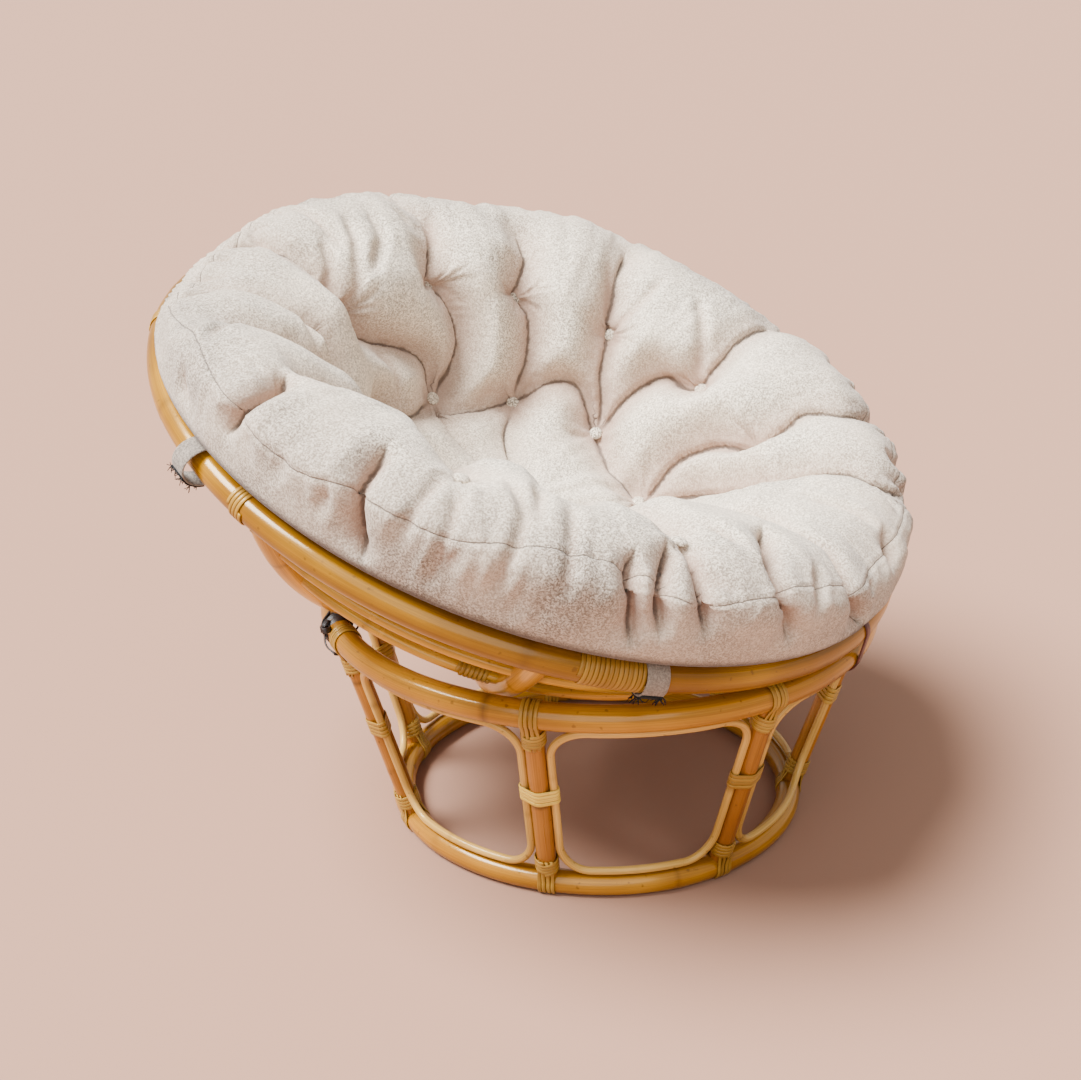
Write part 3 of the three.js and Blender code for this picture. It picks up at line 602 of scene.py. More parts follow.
cushionSizes = {
    "rows": [
        (0, -266.5, 0, 0, 0), (133, -250, 0, 0, 0), (266, -198, 0, 0, 0), (378, -117, 0, 0, 0),
        (446, -36, 0, 0, 0), (478, 5, 0, 0, 0), (505, 17, 0, 0, 0), (531, 25, 0, 0, 0), (553, 37, 0, 0.2, 0),
        (563, 76, 0, 0.6, 0.15), (551, 108, 16, 1, 0.35), (498, 130, 16, 1, 0.4), (432, 118, 16, 0.85, 0.6),
        (388, 86, 24, 0.45, 0.85), (345, 42, 40, 0.1, 1), (292, -30, 40, 0, 0.75), (236, -88, 30, 0, 0.25),
        (168, -114, 18, 0, 0), (84, -128, 9, 0, 0), (0, -128, 0, 0, 0),
    ],
    "sagBearings": [0, 30, 60, 90, 120, 140, 160, 180, 205, 225, 240, 255, 330, 345, 360],
    "sagInsets": [34, 27, 17, 19, 17, 32, 32, 38, 58, 34, 12, 4, 0, 16, 34],
    "sagDrops": [42, 33, 20, 24, 19, 34, 32, 44, 68, 36, 12, 0, 0, 20, 42],
    "riseBearings": [0, 20, 225, 240, 255, 285, 315, 330, 350, 360],
    "riseHeights": [8, 0, 0, 8, 24, 42, 48, 44, 16, 8],
    "columns": 180, "sideRow": 8.15, "voxel": 0.0075, "pressure": 4.0, "cap": 0.022, "looseness": 0.05,
}
sectionRows = np.array(cushionSizes["rows"], float)
lastRow = len(sectionRows) - 1

# Where the cloth is drawn in, as (bearing, row) points: channels between lumps, pleats and folds on the
# side, and the seam's stretches, first as they show at the front, then the same kinds all round
creaseLines = {
    "channel": [
        [(156, 10.7), (153, 11.5), (154, 12.8), (155, 13.8), (147, 14.9), (148, 15.6), (155, 16.2)],
        [(132, 11.6), (130, 12.5), (131, 13.8), (126, 14.5), (124, 15.2), (124, 16)],
        [(109, 11.1), (108, 12.6), (103, 14.6), (93, 16)],
        [(78, 10.5), (78, 11.7), (76, 14), (85, 14.4), (90, 15), (93, 16)],
        [(51, 10), (49, 11.1), (51, 12.1), (48, 14), (58, 14.8), (62, 15.6), (57, 16.4)],
        [(30, 9.8), (28, 10.8), (30, 11.6), (29, 12.9), (27, 14), (41, 15.2), (57, 16.4)],
        [(195, 9.3), (192, 10.4), (191, 11.5), (189, 14), (184, 14.8), (160, 15.5), (155, 16.2)],
        [(155, 16.2), (153, 16.5), (138, 16.4), (124, 16), (108, 15.4), (93, 16), (75, 16.5), (57, 16.4)],
        [(211, 9.5), (211, 12), (212, 14), (227, 16.2)], [(231, 11), (231, 14), (227, 16.2)],
        [(252, 12), (256, 14), (263, 16.2)], [(285, 12.2), (276, 14), (263, 16.2)],
        [(303, 12.8), (303, 14), (300, 16.2)], [(321, 12.2), (314, 14), (300, 16.2)],
        [(355, 13), (352, 14.4), (338, 16.2)],
    ],
    "pleat": [
        [(253, 11.4), (256, 10.6), (256, 8.9)], [(275, 11.2), (277, 9.2), (280, 8.1)],
        [(320, 11.6), (320, 10), (322, 9)], [(317, 11.4), (314, 10.1), (316, 8.9)],
        [(311, 10.9), (310, 10.3), (313, 8.5)], [(342, 12.1), (334, 11.1), (332, 10.4), (336, 8.8)],
        [(357, 13.5), (353, 11.8), (353, 11), (350, 10), (357, 8.1)], [(12, 10.6), (9, 10.2), (6, 9.7)],
        [(222, 9.6), (216, 10.7), (214, 11.5)],
    ],
    "fold": [
        [(284, 11.4), (283, 9.1)], [(286, 11.1), (288, 10.3), (288, 8.4)], [(290, 10), (289, 8.8)],
        [(292, 11.9), (296, 10.8), (295, 8.9)], [(297, 12.4), (298, 10.7)], [(302, 11.9), (303, 9.4)],
        [(305, 10.9), (306, 10.2)], [(313, 11), (313, 10.5)], [(321, 10.8), (325, 10.1)],
        [(327, 12.4), (329, 11.1)], [(344, 10.9), (340, 10.3), (338, 9.6)], [(10, 12.6), (11, 11.4), (10, 10.6)],
        [(26, 11.4), (19, 10.3)], [(272, 10), (273, 9.4), (272, 8.8)], [(266, 9.8), (266, 9)],
        [(260, 9.7), (260, 9.1)], [(216, 12.7), (225, 13.8)], [(188, 9.9), (192, 10.9), (193, 11.6)],
        [(178, 10.2), (180, 11.3), (182, 12.4)], [(167, 11.2), (170, 12.5), (180, 13.7)],
        [(150, 11), (152, 12), (150, 12.7)], [(184, 15), (178, 15.6), (179, 16.3)], [(91, 11.6), (76, 13.9)],
        [(104, 14), (100, 13), (99, 11.6)], [(106, 13.7), (109, 12.7), (111, 11.6)],
        [(140, 16.4), (135, 16), (128, 15.8)], [(244, 9.9), (244, 9.1), (248, 8.8)],
        [(242, 10.4), (234, 11.1)], [(359, 10.2), (356, 9.6)], [(182, 11.4), (193, 13.7)],
        [(162, 11.2), (159, 11.6), (158, 12.1)], [(173, 11.2), (178, 12.4), (186, 14.2)],
    ],
    "seam": [
        [(223, 9.6), (233, 10.1), (241, 10.3), (256, 9.9)], [(256, 9.8), (267, 9.6), (276, 10)],
        [(277, 9.9), (288, 9.9), (296, 10.3), (306, 10.5), (314, 10.4)], [(314, 10.2), (317, 10)],
        [(320, 9.8), (325, 10.1), (331, 10.2)], [(332, 10.4), (341, 10.4), (348, 10.3)],
        [(352, 10.1), (361, 10.3), (368, 10.3), (400, 10.2), (480, 10), (560, 9.8), (583, 9.6)],
    ],
}
innerTufts = [20, 57, 93, 124, 155, 190, 227, 263, 300, 338]
for here, following in zip(innerTufts, innerTufts[1:] + [innerTufts[0] + 360]):
    if not 50 < here < 150:
        creaseLines["channel"].append([(here, 16.2), ((here + following) / 2, 16.5), (following, 16.2)])
    if here % 3 != 0:
        creaseLines["channel"].append([(here, 16.2), (here + 3, 17.2), (here - 8, 18.3)])
for bearing in range(24, 215, 13):
    kind = "pleat" if bearing % 2 else "fold"
    creaseLines[kind].append([(bearing, 8.6), (bearing + 1, 9.6), (bearing, 10.6)])
    creaseLines["fold"].append([(bearing + 6, 8.4), (bearing + 8, 9.4), (bearing + 7, 10.6)])
creaseSizes = {
    "rows": [8, 9, 10, 11, 12, 13, 14, 15, 16, 17, 18, 19],
    "channelDepths": [2, 6, 16, 30, 42, 54, 68, 62, 58, 34, 18, 6],
    "channelWidth": 16, "crownWidth": 36, "channelCore": 7, "pleatDepth": 28, "pleatWidth": 13, "pleatCore": 10,
    "foldDepth": 13, "foldWidth": 9.5, "coreWidth": 4.2, "overlap": 3.5, "seamDepth": 1.4, "seamWidth": 2.6,
    "gather": 2.4, "pucker": 1.0, "tuftPucker": 4.5, "tuftReach": 34,
}
buttonSizes = {
    "spots": [(103.8, 14.08), (75.5, 14.04), (93, 15.96), (285.8, 11.5), (255.2, 10.98), (124, 16.04),
              (155, 16.16), (187, 14.32), (154.5, 13.9), (130.5, 13.8), (48.5, 14), (57.2, 16.44), (24, 14),
              (20, 16.2), (338, 16.2), (300, 16.2), (263, 16.2), (227, 16.2), (190, 16.2), (320, 11.6)],
    "radius": 0.0105, "dimple": 20, "dimpleReach": 20,
}


def puffedRows():
    before, after = sectionRows[np.maximum(np.arange(lastRow + 1) - 1, 0)], sectionRows[
        np.minimum(np.arange(lastRow + 1) + 1, lastRow)]
    run = after[:, :2] - before[:, :2]
    run /= np.linalg.norm(run, axis=1)[:, None]
    return sectionRows[:, :2] + np.stack([run[:, 1], -run[:, 0]], axis=1) * sectionRows[:, 2:3]


rowEnvelope = puffedRows()


def rowPlace(rows, bearings):
    # one row's radius and height at each bearing; rows past a pole are mirrored
    past = (rows < 0) | (rows > lastRow)
    index = np.where(rows < 0, -rows, np.where(rows > lastRow, 2 * lastRow - rows, rows))
    sag, rise = sectionRows[index, 3], sectionRows[index, 4]
    inset = np.interp(bearings % 360, cushionSizes["sagBearings"], cushionSizes["sagInsets"])
    drop = np.interp(bearings % 360, cushionSizes["sagBearings"], cushionSizes["sagDrops"])
    lift = np.interp(bearings % 360, cushionSizes["riseBearings"], cushionSizes["riseHeights"])
    radius = rowEnvelope[index, 0] - sag * inset
    return np.where(past, -radius, radius) / 1000, (rowEnvelope[index, 1] - sag * drop + rise * lift) / 1000


def sectionPlace(bearings, rows):
    rows = np.clip(rows, 0, lastRow - 0.000001)
    first = np.floor(rows).astype(int)
    t = rows - first
    shares = (-0.5 * t ** 3 + t ** 2 - 0.5 * t, 1.5 * t ** 3 - 2.5 * t ** 2 + 1,
              -1.5 * t ** 3 + 2 * t ** 2 + 0.5 * t, 0.5 * t ** 3 - 0.5 * t ** 2)
    parts = [rowPlace(first - 1 + i, bearings) for i in range(4)]
    radius = sum(share * part[0] for share, part in zip(shares, parts))
    height = sum(share * part[1] for share, part in zip(shares, parts))
    return np.maximum(radius, 0), height


def surfacePlace(bearings, rows):
    radius, height = sectionPlace(bearings, rows)
    angle = np.radians(bearings)
    return np.stack([radius * np.sin(angle), -radius * np.cos(angle), height - rimDrop], axis=-1)


def surfaceNormal(bearings, rows):
    across = surfacePlace(bearings + 0.4, rows) - surfacePlace(bearings - 0.4, rows)
    angle = np.radians(bearings)
    level = np.stack([np.cos(angle), np.sin(angle), 0 * angle], axis=-1)
    across = np.where(np.linalg.norm(across, axis=-1, keepdims=True) > 0.0002, across, level)
    along = surfacePlace(bearings, rows + 0.05) - surfacePlace(bearings, rows - 0.05)
    normal = np.cross(across, along)
    return normal / np.maximum(np.linalg.norm(normal, axis=-1, keepdims=True), 1e-9)


def lineSamples(kind, spacing=0.004):
    # places along the crease lines, with their sides, rows and how far each is from its line's ends
    places, sides, rows, tapers = [], [], [], []
    for line in creaseLines[kind]:
        points = np.array(line, float)
        points[:, 0] = np.unwrap(points[:, 0], period=360)
        points = np.vstack([2 * points[0] - points[1], points, 2 * points[-1] - points[-2]])
        spots = []
        for a, b, c, d in zip(points, points[1:], points[2:], points[3:]):
            for t in np.arange(0, 1, 0.05):
                spots.append(0.5 * (2 * b + (c - a) * t + (2 * a - 5 * b + 4 * c - d) * t ** 2
                                    + (3 * b - a - 3 * c + d) * t ** 3))
        spots.append(points[-2])
        spots = np.array(spots)
        where = surfacePlace(spots[:, 0], spots[:, 1])
        steps = np.concatenate(([0], np.cumsum(np.linalg.norm(np.diff(where, axis=0), axis=1))))
        even = np.linspace(0, steps[-1], max(4, int(steps[-1] / spacing)))
        bearing, row = np.interp(even, steps, spots[:, 0]), np.interp(even, steps, spots[:, 1])
        where = surfacePlace(bearing, row)
        side = np.cross(np.gradient(where, axis=0), surfaceNormal(bearing, row))
        places.append(where)
        sides.append(side / np.maximum(np.linalg.norm(side, axis=1, keepdims=True), 1e-9))
        rows.append(row)
        tapers.append(np.minimum(even, even[::-1]))
    return [np.concatenate(part) for part in (places, sides, rows, tapers)]


def nearestSamples(places, samples):
    tree = kdtree.KDTree(len(samples))
    for i, spot in enumerate(samples):
        tree.insert(spot, i)
    tree.balance()
    found = [tree.find(place)[1:] for place in places]
    return np.array([item[0] for item in found]), np.array([item[1] for item in found]) * 1000


def channelRelief(places):
    # in mm: the wide form of the channels and tufts
    spots, sides, lineRows, tapers = lineSamples("channel")
    index, distance = nearestSamples(places, spots)
    depth = np.interp(lineRows[index], creaseSizes["rows"], creaseSizes["channelDepths"])
    sunk = 0.5 * depth * np.exp(-(distance / creaseSizes["channelWidth"]) ** 1.2)
    sunk += 0.5 * depth * np.exp(-(distance / creaseSizes["crownWidth"]) ** 2)
    index, distance = nearestSamples(places, buttonPlaces())
    return sunk + buttonSizes["dimple"] * np.exp(-(distance / buttonSizes["dimpleReach"]) ** 1.4)


def pleatRelief(places):
    # in mm: the wide form of the pleats and folds
    spots, sides, lineRows, tapers = lineSamples("pleat")
    index, distance = nearestSamples(places, spots)
    ease = np.clip(tapers[index] / 0.03, 0, 1)
    sunk = creaseSizes["pleatDepth"] * ease * np.exp(-(distance / creaseSizes["pleatWidth"]) ** 1.5)
    spots, sides, lineRows, tapers = lineSamples("fold")
    index, distance = nearestSamples(places, spots)
    ease = np.clip(tapers[index] / 0.035, 0, 1)
    reach = (distance / creaseSizes["foldWidth"]) ** 2
    return sunk + creaseSizes["foldDepth"] * ease * (1 - 0.8 * reach) * np.exp(-reach / 1.6)


def ridgeNoise(bearings, rows, across, along, shift):
    # thin ridges that run from row to row, between 0 and 1
    values = np.empty(len(bearings))
    angles = np.radians(bearings)
    for i, (x, y, row) in enumerate(zip(np.sin(angles) * across, np.cos(angles) * across, rows * along)):
        values[i] = 1 - min(1.0, 3.2 * abs(noise.noise(Vector((x, y, row + shift)))))
    return values


def fineRelief(places, rows):
    # in mm: the sharp bottoms of the creases, the seam, small gathers and the creases' marks for the painted shade
    # in the colour
    raised, marks = np.zeros(len(places)), np.zeros(len(places))
    bearings = np.degrees(np.arctan2(places[:, 0], -places[:, 1])) % 360
    nearSide = np.exp(-((rows - 10) / 1.1) ** 2)
    raised += creaseSizes["gather"] * nearSide * ridgeNoise(bearings, rows, 13, 0.8, 3)
    spots, sides, lineRows, tapers = lineSamples("channel")
    index, distance = nearestSamples(places, spots)
    beside = np.exp(-((distance - 12) / 12) ** 2) * np.clip((rows - 9.5) / 1.5, 0, 1)
    raised += creaseSizes["pucker"] * beside * ridgeNoise(bearings, rows, 9, 9.0, 11)
    raised += tuftPuckers(places)
    offsets = np.full(len(places), 0.1)
    for kind, depth in (("channel", creaseSizes["channelCore"]), ("pleat", creaseSizes["pleatCore"])):
        spots, sides, lineRows, tapers = lineSamples(kind)
        index, distance = nearestSamples(places, spots)
        ease = np.clip(tapers[index] / 0.02, 0.15, 1) * np.clip((lineRows[index] - 7.8) / 0.8, 0.2, 1)
        core = np.exp(-(distance / creaseSizes["coreWidth"]) ** 2)
        offset = ((places - spots[index]) * sides[index]).sum(axis=1)
        lap = np.tanh(offset / 0.003) * np.exp(-(distance / 16) ** 2)
        raised += ease * (creaseSizes["overlap"] * lap - depth * core)
        closer = ease * np.exp(-(distance / 14) ** 2) > marks
        offsets = np.where(closer, offset, offsets)
        marks = np.maximum(marks, ease * np.exp(-(distance / 14) ** 2))
    spots, sides, lineRows, tapers = lineSamples("seam")
    index, distance = nearestSamples(places, spots)
    raised -= creaseSizes["seamDepth"] * np.exp(-(distance / creaseSizes["seamWidth"]) ** 2)
    raised += 0.5 * creaseSizes["seamDepth"] * np.exp(-((distance - 6) / 4) ** 2)
    seamOffset = np.where(distance < 14, ((places - spots[index]) * sides[index]).sum(axis=1), 0.02)
    return raised, {"crease": marks, "creaseOffset": offsets, "seamOffset": seamOffset}


def tuftPuckers(places):
    # in mm: small folds that run out from each tuft
    spots = np.array(buttonSizes["spots"], float)
    normals = surfaceNormal(spots[:, 0], spots[:, 1])
    index, distance = nearestSamples(places, buttonPlaces())
    angles = np.radians(spots[:, 0])
    level = np.stack([np.cos(angles), np.sin(angles), 0 * angles], axis=-1)
    reach = places - buttonPlaces()[index]
    turn = np.arctan2((reach * np.cross(normals, level)[index]).sum(axis=1), (reach * level[index]).sum(axis=1))
    fade = np.exp(-((distance - 12) / creaseSizes["tuftReach"]) ** 2) * np.clip(distance / 12, 0, 1)
    folds = np.zeros(len(places))
    for i in np.nonzero(fade > 0.02)[0]:
        spot = Vector((math.cos(turn[i]) * 1.7, math.sin(turn[i]) * 1.7, index[i] * 7.3 + distance[i] * 0.012))
        folds[i] = 1 - min(1.0, 3.0 * abs(noise.noise(spot)))
    return -creaseSizes["tuftPucker"] * fade * folds


def buttonPlaces():
    spots = np.array(buttonSizes["spots"], float)
    return surfacePlace(spots[:, 0], spots[:, 1])


def wrinkleAt(bearings, rows):
    # shallow gathers in mm that run up the side and over the crest
    values = np.empty(len(bearings))
    for i, (bearing, row) in enumerate(zip(bearings, rows)):
        angle = math.radians(bearing)
        broad = noise.noise(Vector((math.sin(angle) * 8, math.cos(angle) * 8, row * 0.35)))
        ridge = 1 - 2 * abs(noise.noise(Vector((math.sin(angle) * 17, math.cos(angle) * 17, row * 0.2 + 7))))
        values[i] = 4 * broad - 4 * max(0.0, ridge - 0.45)
    return values


def latheCushion():
    # the section is spun, then each point moves to its own bearing's section
    rows = np.linspace(0, lastRow, 150)
    mesh = bmesh.new()
    layer = mesh.verts.layers.float.new("row")
    chain = []
    for place, row in zip(surfacePlace(0 * rows, rows), rows):
        vert = mesh.verts.new(Vector(place))
        vert[layer] = row
        chain.append(vert)
    edges = [mesh.edges.new(pair) for pair in zip(chain, chain[1:])]
    bmesh.ops.spin(mesh, geom=chain + edges, axis=(0, 0, 1), cent=(0, 0, 0), angle=2 * math.pi,
                   steps=cushionSizes["columns"], use_merge=True)
    verts = list(mesh.verts)
    places = np.array([vert.co[:] for vert in verts])
    bearings = np.degrees(np.arctan2(places[:, 0], -places[:, 1])) % 360
    for vert, place in zip(verts, surfacePlace(bearings, np.array([vert[layer] for vert in verts]))):
        vert.co = place
    bmesh.ops.remove_doubles(mesh, verts=mesh.verts, dist=0.0002)
    bmesh.ops.recalc_face_normals(mesh, faces=mesh.faces)
    data = bpy.data.meshes.new("cushionCover")
    mesh.to_mesh(data)
    mesh.free()
    piece = bpy.data.objects.new("cushionCover", data)
    bpy.context.collection.objects.link(piece)
    return piece


def surfaceRows(places):
    # the section's row nearest to each place, first coarsely, then finely
    bearings = np.degrees(np.arctan2(places[:, 0], -places[:, 1])) % 360
    radius, height = np.hypot(places[:, 0], places[:, 1]), places[:, 2] + rimDrop
    rows = np.full(len(places), lastRow / 2)
    for reach, count in ((lastRow / 2, 120), (0.2, 21)):
        guesses = rows[:, None] + np.linspace(-reach, reach, count)[None, :]
        r, h = sectionPlace(np.repeat(bearings[:, None], count, axis=1), guesses)
        best = np.hypot(r - radius[:, None], h - height[:, None]).argmin(axis=1)
        rows = np.clip(guesses[np.arange(len(places)), best], 0, lastRow)
    return bearings, rows


def vertexValues(data, key):
    values = np.empty(len(data.vertices) * 3, np.float32)
    data.vertices.foreach_get(key, values)
    return values.reshape(-1, 3).astype(float)


def setPlaces(data, places):
    data.vertices.foreach_set("co", places.astype(np.float32).ravel())
    data.update()


def setAttribute(data, name, values):
    kind = "FLOAT_VECTOR" if values.ndim == 2 else "FLOAT"
    layer = data.attributes.new(name, kind, "POINT")
    layer.data.foreach_set("vector" if values.ndim == 2 else "value", values.astype(np.float32).ravel())


def applyModifiers(piece):
    evaluated = piece.evaluated_get(bpy.context.evaluated_depsgraph_get())
    data = bpy.data.meshes.new_from_object(evaluated)
    piece.modifiers.clear()
    piece.data = data
    return data


def evened(data, values, rounds):
    # each point's value drawn towards its neighbours' mean, a number of times
    pairs = np.empty(len(data.edges) * 2, np.int32)
    data.edges.foreach_get("vertices", pairs)
    first, second = pairs[0::2], pairs[1::2]
    count = np.bincount(first, minlength=len(values)) + np.bincount(second, minlength=len(values))
    columns = [values] if values.ndim == 1 else list(values.T)
    for _ in range(rounds):
        columns = [0.4 * column + 0.6 * (
            np.bincount(first, column[second], len(values)) + np.bincount(second, column[first], len(values))
        ) / count for column in columns]
    return columns[0] if values.ndim == 1 else np.stack(columns, axis=1)


def inflate(piece, rows, held):
    # a short cloth simulation with air inside, held at the tufts and creases and under the seat
    before = vertexValues(piece.data, "co")
    pins = piece.vertex_groups.new(name="held")
    pins.add([int(i) for i in np.nonzero(held | (rows < cushionSizes["sideRow"]))[0]], 1.0, "REPLACE")
    cloth = piece.modifiers.new("inflate", "CLOTH").settings
    cloth.use_pressure = True
    cloth.uniform_pressure_force = cushionSizes["pressure"]
    cloth.vertex_group_mass = "held"
    cloth.shrink_min = -cushionSizes["looseness"]
    cloth.quality = 5
    cloth.tension_stiffness = cloth.compression_stiffness = 12
    cloth.shear_stiffness = 5
    cloth.bending_stiffness = 0.3
    cloth.effector_weights.gravity = 0
    scene = bpy.context.scene
    for number in range(1, 21):
        scene.frame_set(number)
    after = vertexValues(applyModifiers(piece), "co")
    scene.frame_set(1)
    move = after - before
    size = np.maximum(np.linalg.norm(move, axis=1), 1e-9)
    capped = move * (cushionSizes["cap"] * np.tanh(size / cushionSizes["cap"]) / size)[:, None]
    setPlaces(piece.data, before + evened(piece.data, capped, 3))
    print("scene: cushion inflated, moved up to", round(float(size.max()), 4), "mean", round(float(size.mean()), 4))


cushion = latheCushion()
remesh = cushion.modifiers.new("even", "REMESH")
remesh.mode = "VOXEL"
remesh.voxel_size = cushionSizes["voxel"]
data = applyModifiers(cushion)
bearings, rows = surfaceRows(vertexValues(data, "co"))
restPlaces = surfacePlace(bearings, rows)
restNormals = surfaceNormal(bearings, rows)
upper = np.clip((rows - cushionSizes["sideRow"]) / 0.5, 0, 1)
channels = evened(data, channelRelief(restPlaces), 8)
pleats = evened(data, pleatRelief(restPlaces), 1)
relief = wrinkleAt(bearings, rows) - pleats - channels
setPlaces(data, restPlaces + restNormals * (relief * upper / 1000)[:, None])
print("scene: cushion laid out,", len(data.vertices), "points,", round(time.time() - begun), "s")
tufts = nearestSamples(restPlaces, buttonPlaces())[1] < 12
creases = nearestSamples(restPlaces, lineSamples("channel")[0])[1] < 9
creases |= nearestSamples(restPlaces, lineSamples("pleat")[0])[1] < 6
inflate(cushion, rows, tufts | creases)
setAttribute(cushion.data, "rest", restPlaces)
setAttribute(cushion.data, "row", rows)
# painted shade: the cloth's colour is darkened in the channels and pleats, where shade gathers
setAttribute(cushion.data, "hollowShade", (channels + 2.2 * np.maximum(pleats, 0)) * upper / 60)
finer = cushion.modifiers.new("finer", "SUBSURF")
finer.levels = finer.render_levels = 1
data = applyModifiers(cushion)
rest = np.empty(len(data.vertices) * 3, np.float32)
data.attributes["rest"].data.foreach_get("vector", rest)
rows = np.empty(len(data.vertices), np.float32)
data.attributes["row"].data.foreach_get("value", rows)
raised, lineValues = fineRelief(rest.reshape(-1, 3).astype(float), rows)
places = vertexValues(data, "co") + vertexValues(data, "normal") * (raised / 1000)[:, None]
setPlaces(data, places)
for name, values in lineValues.items():
    setAttribute(data, name, values)
cushion.data.transform(bowlPlace)
for polygon in cushion.data.polygons:
    polygon.use_smooth = True
print("scene: cushion creased,", len(data.vertices), "points,", round(time.time() - begun), "s")


# Cloth

def lineValue(tree, name, inner, outer):
    # 1 on the line where a signed offset is nought, 0 beyond the outer distance
    offset = addNode(tree, "ShaderNodeAttribute", {"attribute_name": name}).outputs["Fac"]
    node = addNode(tree, "ShaderNodeMapRange", {"interpolation_type": "SMOOTHSTEP"}, {
        "Value": mathNode(tree, "ABSOLUTE", offset), "From Min": inner, "From Max": outer,
        "To Min": 1.0, "To Max": 0.0})
    return node.outputs["Result"]


def linenMaterial(name, look):
    material, tree, shader = newMaterial(name)
    place = addNode(tree, "ShaderNodeTexCoord").outputs["Object"]
    row = addNode(tree, "ShaderNodeAttribute", {"attribute_name": "row"}).outputs["Fac"]
    crease = addNode(tree, "ShaderNodeAttribute", {"attribute_name": "crease"}).outputs["Fac"]
    hollowShade = addNode(tree, "ShaderNodeAttribute", {"attribute_name": "hollowShade"}).outputs["Fac"]
    line = mathNode(tree, "MULTIPLY", crease, lineValue(tree, "creaseOffset", 0.0004, 0.0026))
    seam = mathNode(tree, "MULTIPLY", lineValue(tree, "seamOffset", 0.0002, 0.0013), look["seams"])
    flecks = noiseValue(tree, place, look["fleckScale"], 2.0, 0.7)
    mottle = noiseValue(tree, place, look["mottleScale"], 3.0, 0.65)
    broad = noiseValue(tree, place, look["broadScale"], 3.0)
    fine = noiseValue(tree, place, look["threadScale"], 1.0)
    # painted shade: the cushion's outer side below the crest gets a darker, greyer colour than its top
    side = rampNode(tree, mathNode(tree, "MULTIPLY", row, 0.05), look["sideShadeStops"])
    colour = mixColour(tree, side, look["light"], look["sideShadeColour"])
    strength = mathNode(tree, "MULTIPLY_ADD", side, 0.2, 0.8)
    dark = rampNode(tree, flecks, [(0.42, look["flecks"]), (0.55, 0.0)])
    colour = mixColour(tree, mathNode(tree, "MULTIPLY", dark, strength), colour, look["dark"])
    dark = rampNode(tree, mottle, [(0.38, look["mottle"]), (0.60, 0.0)])
    colour = mixColour(tree, mathNode(tree, "MULTIPLY", dark, strength), colour, look["dark"])
    colour = mixColour(tree, rampNode(tree, broad, [(0.35, 0.0), (0.7, 0.4)]), colour, look["warm"])
    # painted shade: a darker, warmer colour down in the channels and pleats
    colour = mixColour(tree, rampNode(tree, hollowShade, [(0.1, 0.0), (0.9, 0.85)]), colour, look["hollowShade"])
    # painted shadow: a dark band on the cloth just above where it rests on the rim
    contactShadow = rampNode(tree, mathNode(tree, "MULTIPLY", row, 0.05), look["contactShadowStops"])
    colour = mixColour(tree, contactShadow, colour, look["shade"])
    # painted shade: a dark line along the bottom of each crease
    colour = mixColour(tree, mathNode(tree, "MULTIPLY", line, 0.75), colour, look["shade"])
    colour = mixColour(tree, mathNode(tree, "MULTIPLY", seam, 0.65), colour, look["shade"])
    tree.links.new(colour, shader.inputs["Base Color"])
    height = mathNode(tree, "MULTIPLY_ADD", fine, 0.6, mathNode(tree, "MULTIPLY", flecks, 0.9))
    height = mathNode(tree, "SUBTRACT", height, mathNode(tree, "MULTIPLY", seam, 2.0))
    height = mathNode(tree, "SUBTRACT", height, mathNode(tree, "MULTIPLY", line, 3.0))
    bump = addNode(tree, "ShaderNodeBump", inputs={"Height": height, "Strength": 0.6, "Distance": 0.001})
    tree.links.new(bump.outputs["Normal"], shader.inputs["Normal"])
    shader.inputs["Roughness"].default_value = 0.95
    shader.inputs["Sheen Weight"].default_value = look["sheen"]
    shader.inputs["Sheen Roughness"].default_value = 0.5
    shader.inputs["Specular IOR Level"].default_value = 0.2
    return material


linenLook = {"light": (0.88, 0.78, 0.62), "sideShadeColour": (0.51, 0.44, 0.36), "dark": (0.16, 0.125, 0.095),
             "warm": (0.80, 0.655, 0.505), "shade": (0.05, 0.033, 0.025), "flecks": 1.0, "mottle": 0.55, "sheen": 0.14, "seams": 1.0,
             "hollowShade": (0.40, 0.26, 0.19),
             "fleckScale": 400.0, "mottleScale": 210.0, "broadScale": 7.0, "threadScale": 1500.0,
             "sideShadeStops": [(0.51, 1.0), (0.60, 0.0)],
             "contactShadowStops": [(0.34, 0.0), (0.39, 0.8), (0.402, 0.8), (0.418, 0.0)]}
webLook = dict(linenLook, light=(0.30, 0.25, 0.205), sideShadeColour=(0.30, 0.25, 0.205), dark=(0.13, 0.11, 0.09),
               warm=(0.28, 0.23, 0.185), seams=0.0)
linen = linenMaterial("heatheredLinen", linenLook)
linenButton = linenMaterial("buttonLinen", dict(linenLook, sideShadeColour=linenLook["light"], seams=0.0))
webbing = linenMaterial("strapWebbing", webLook)

cushion.data.materials.clear()
cushion.data.materials.append(linen)
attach(cushion, "cushion")
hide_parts("cushion")


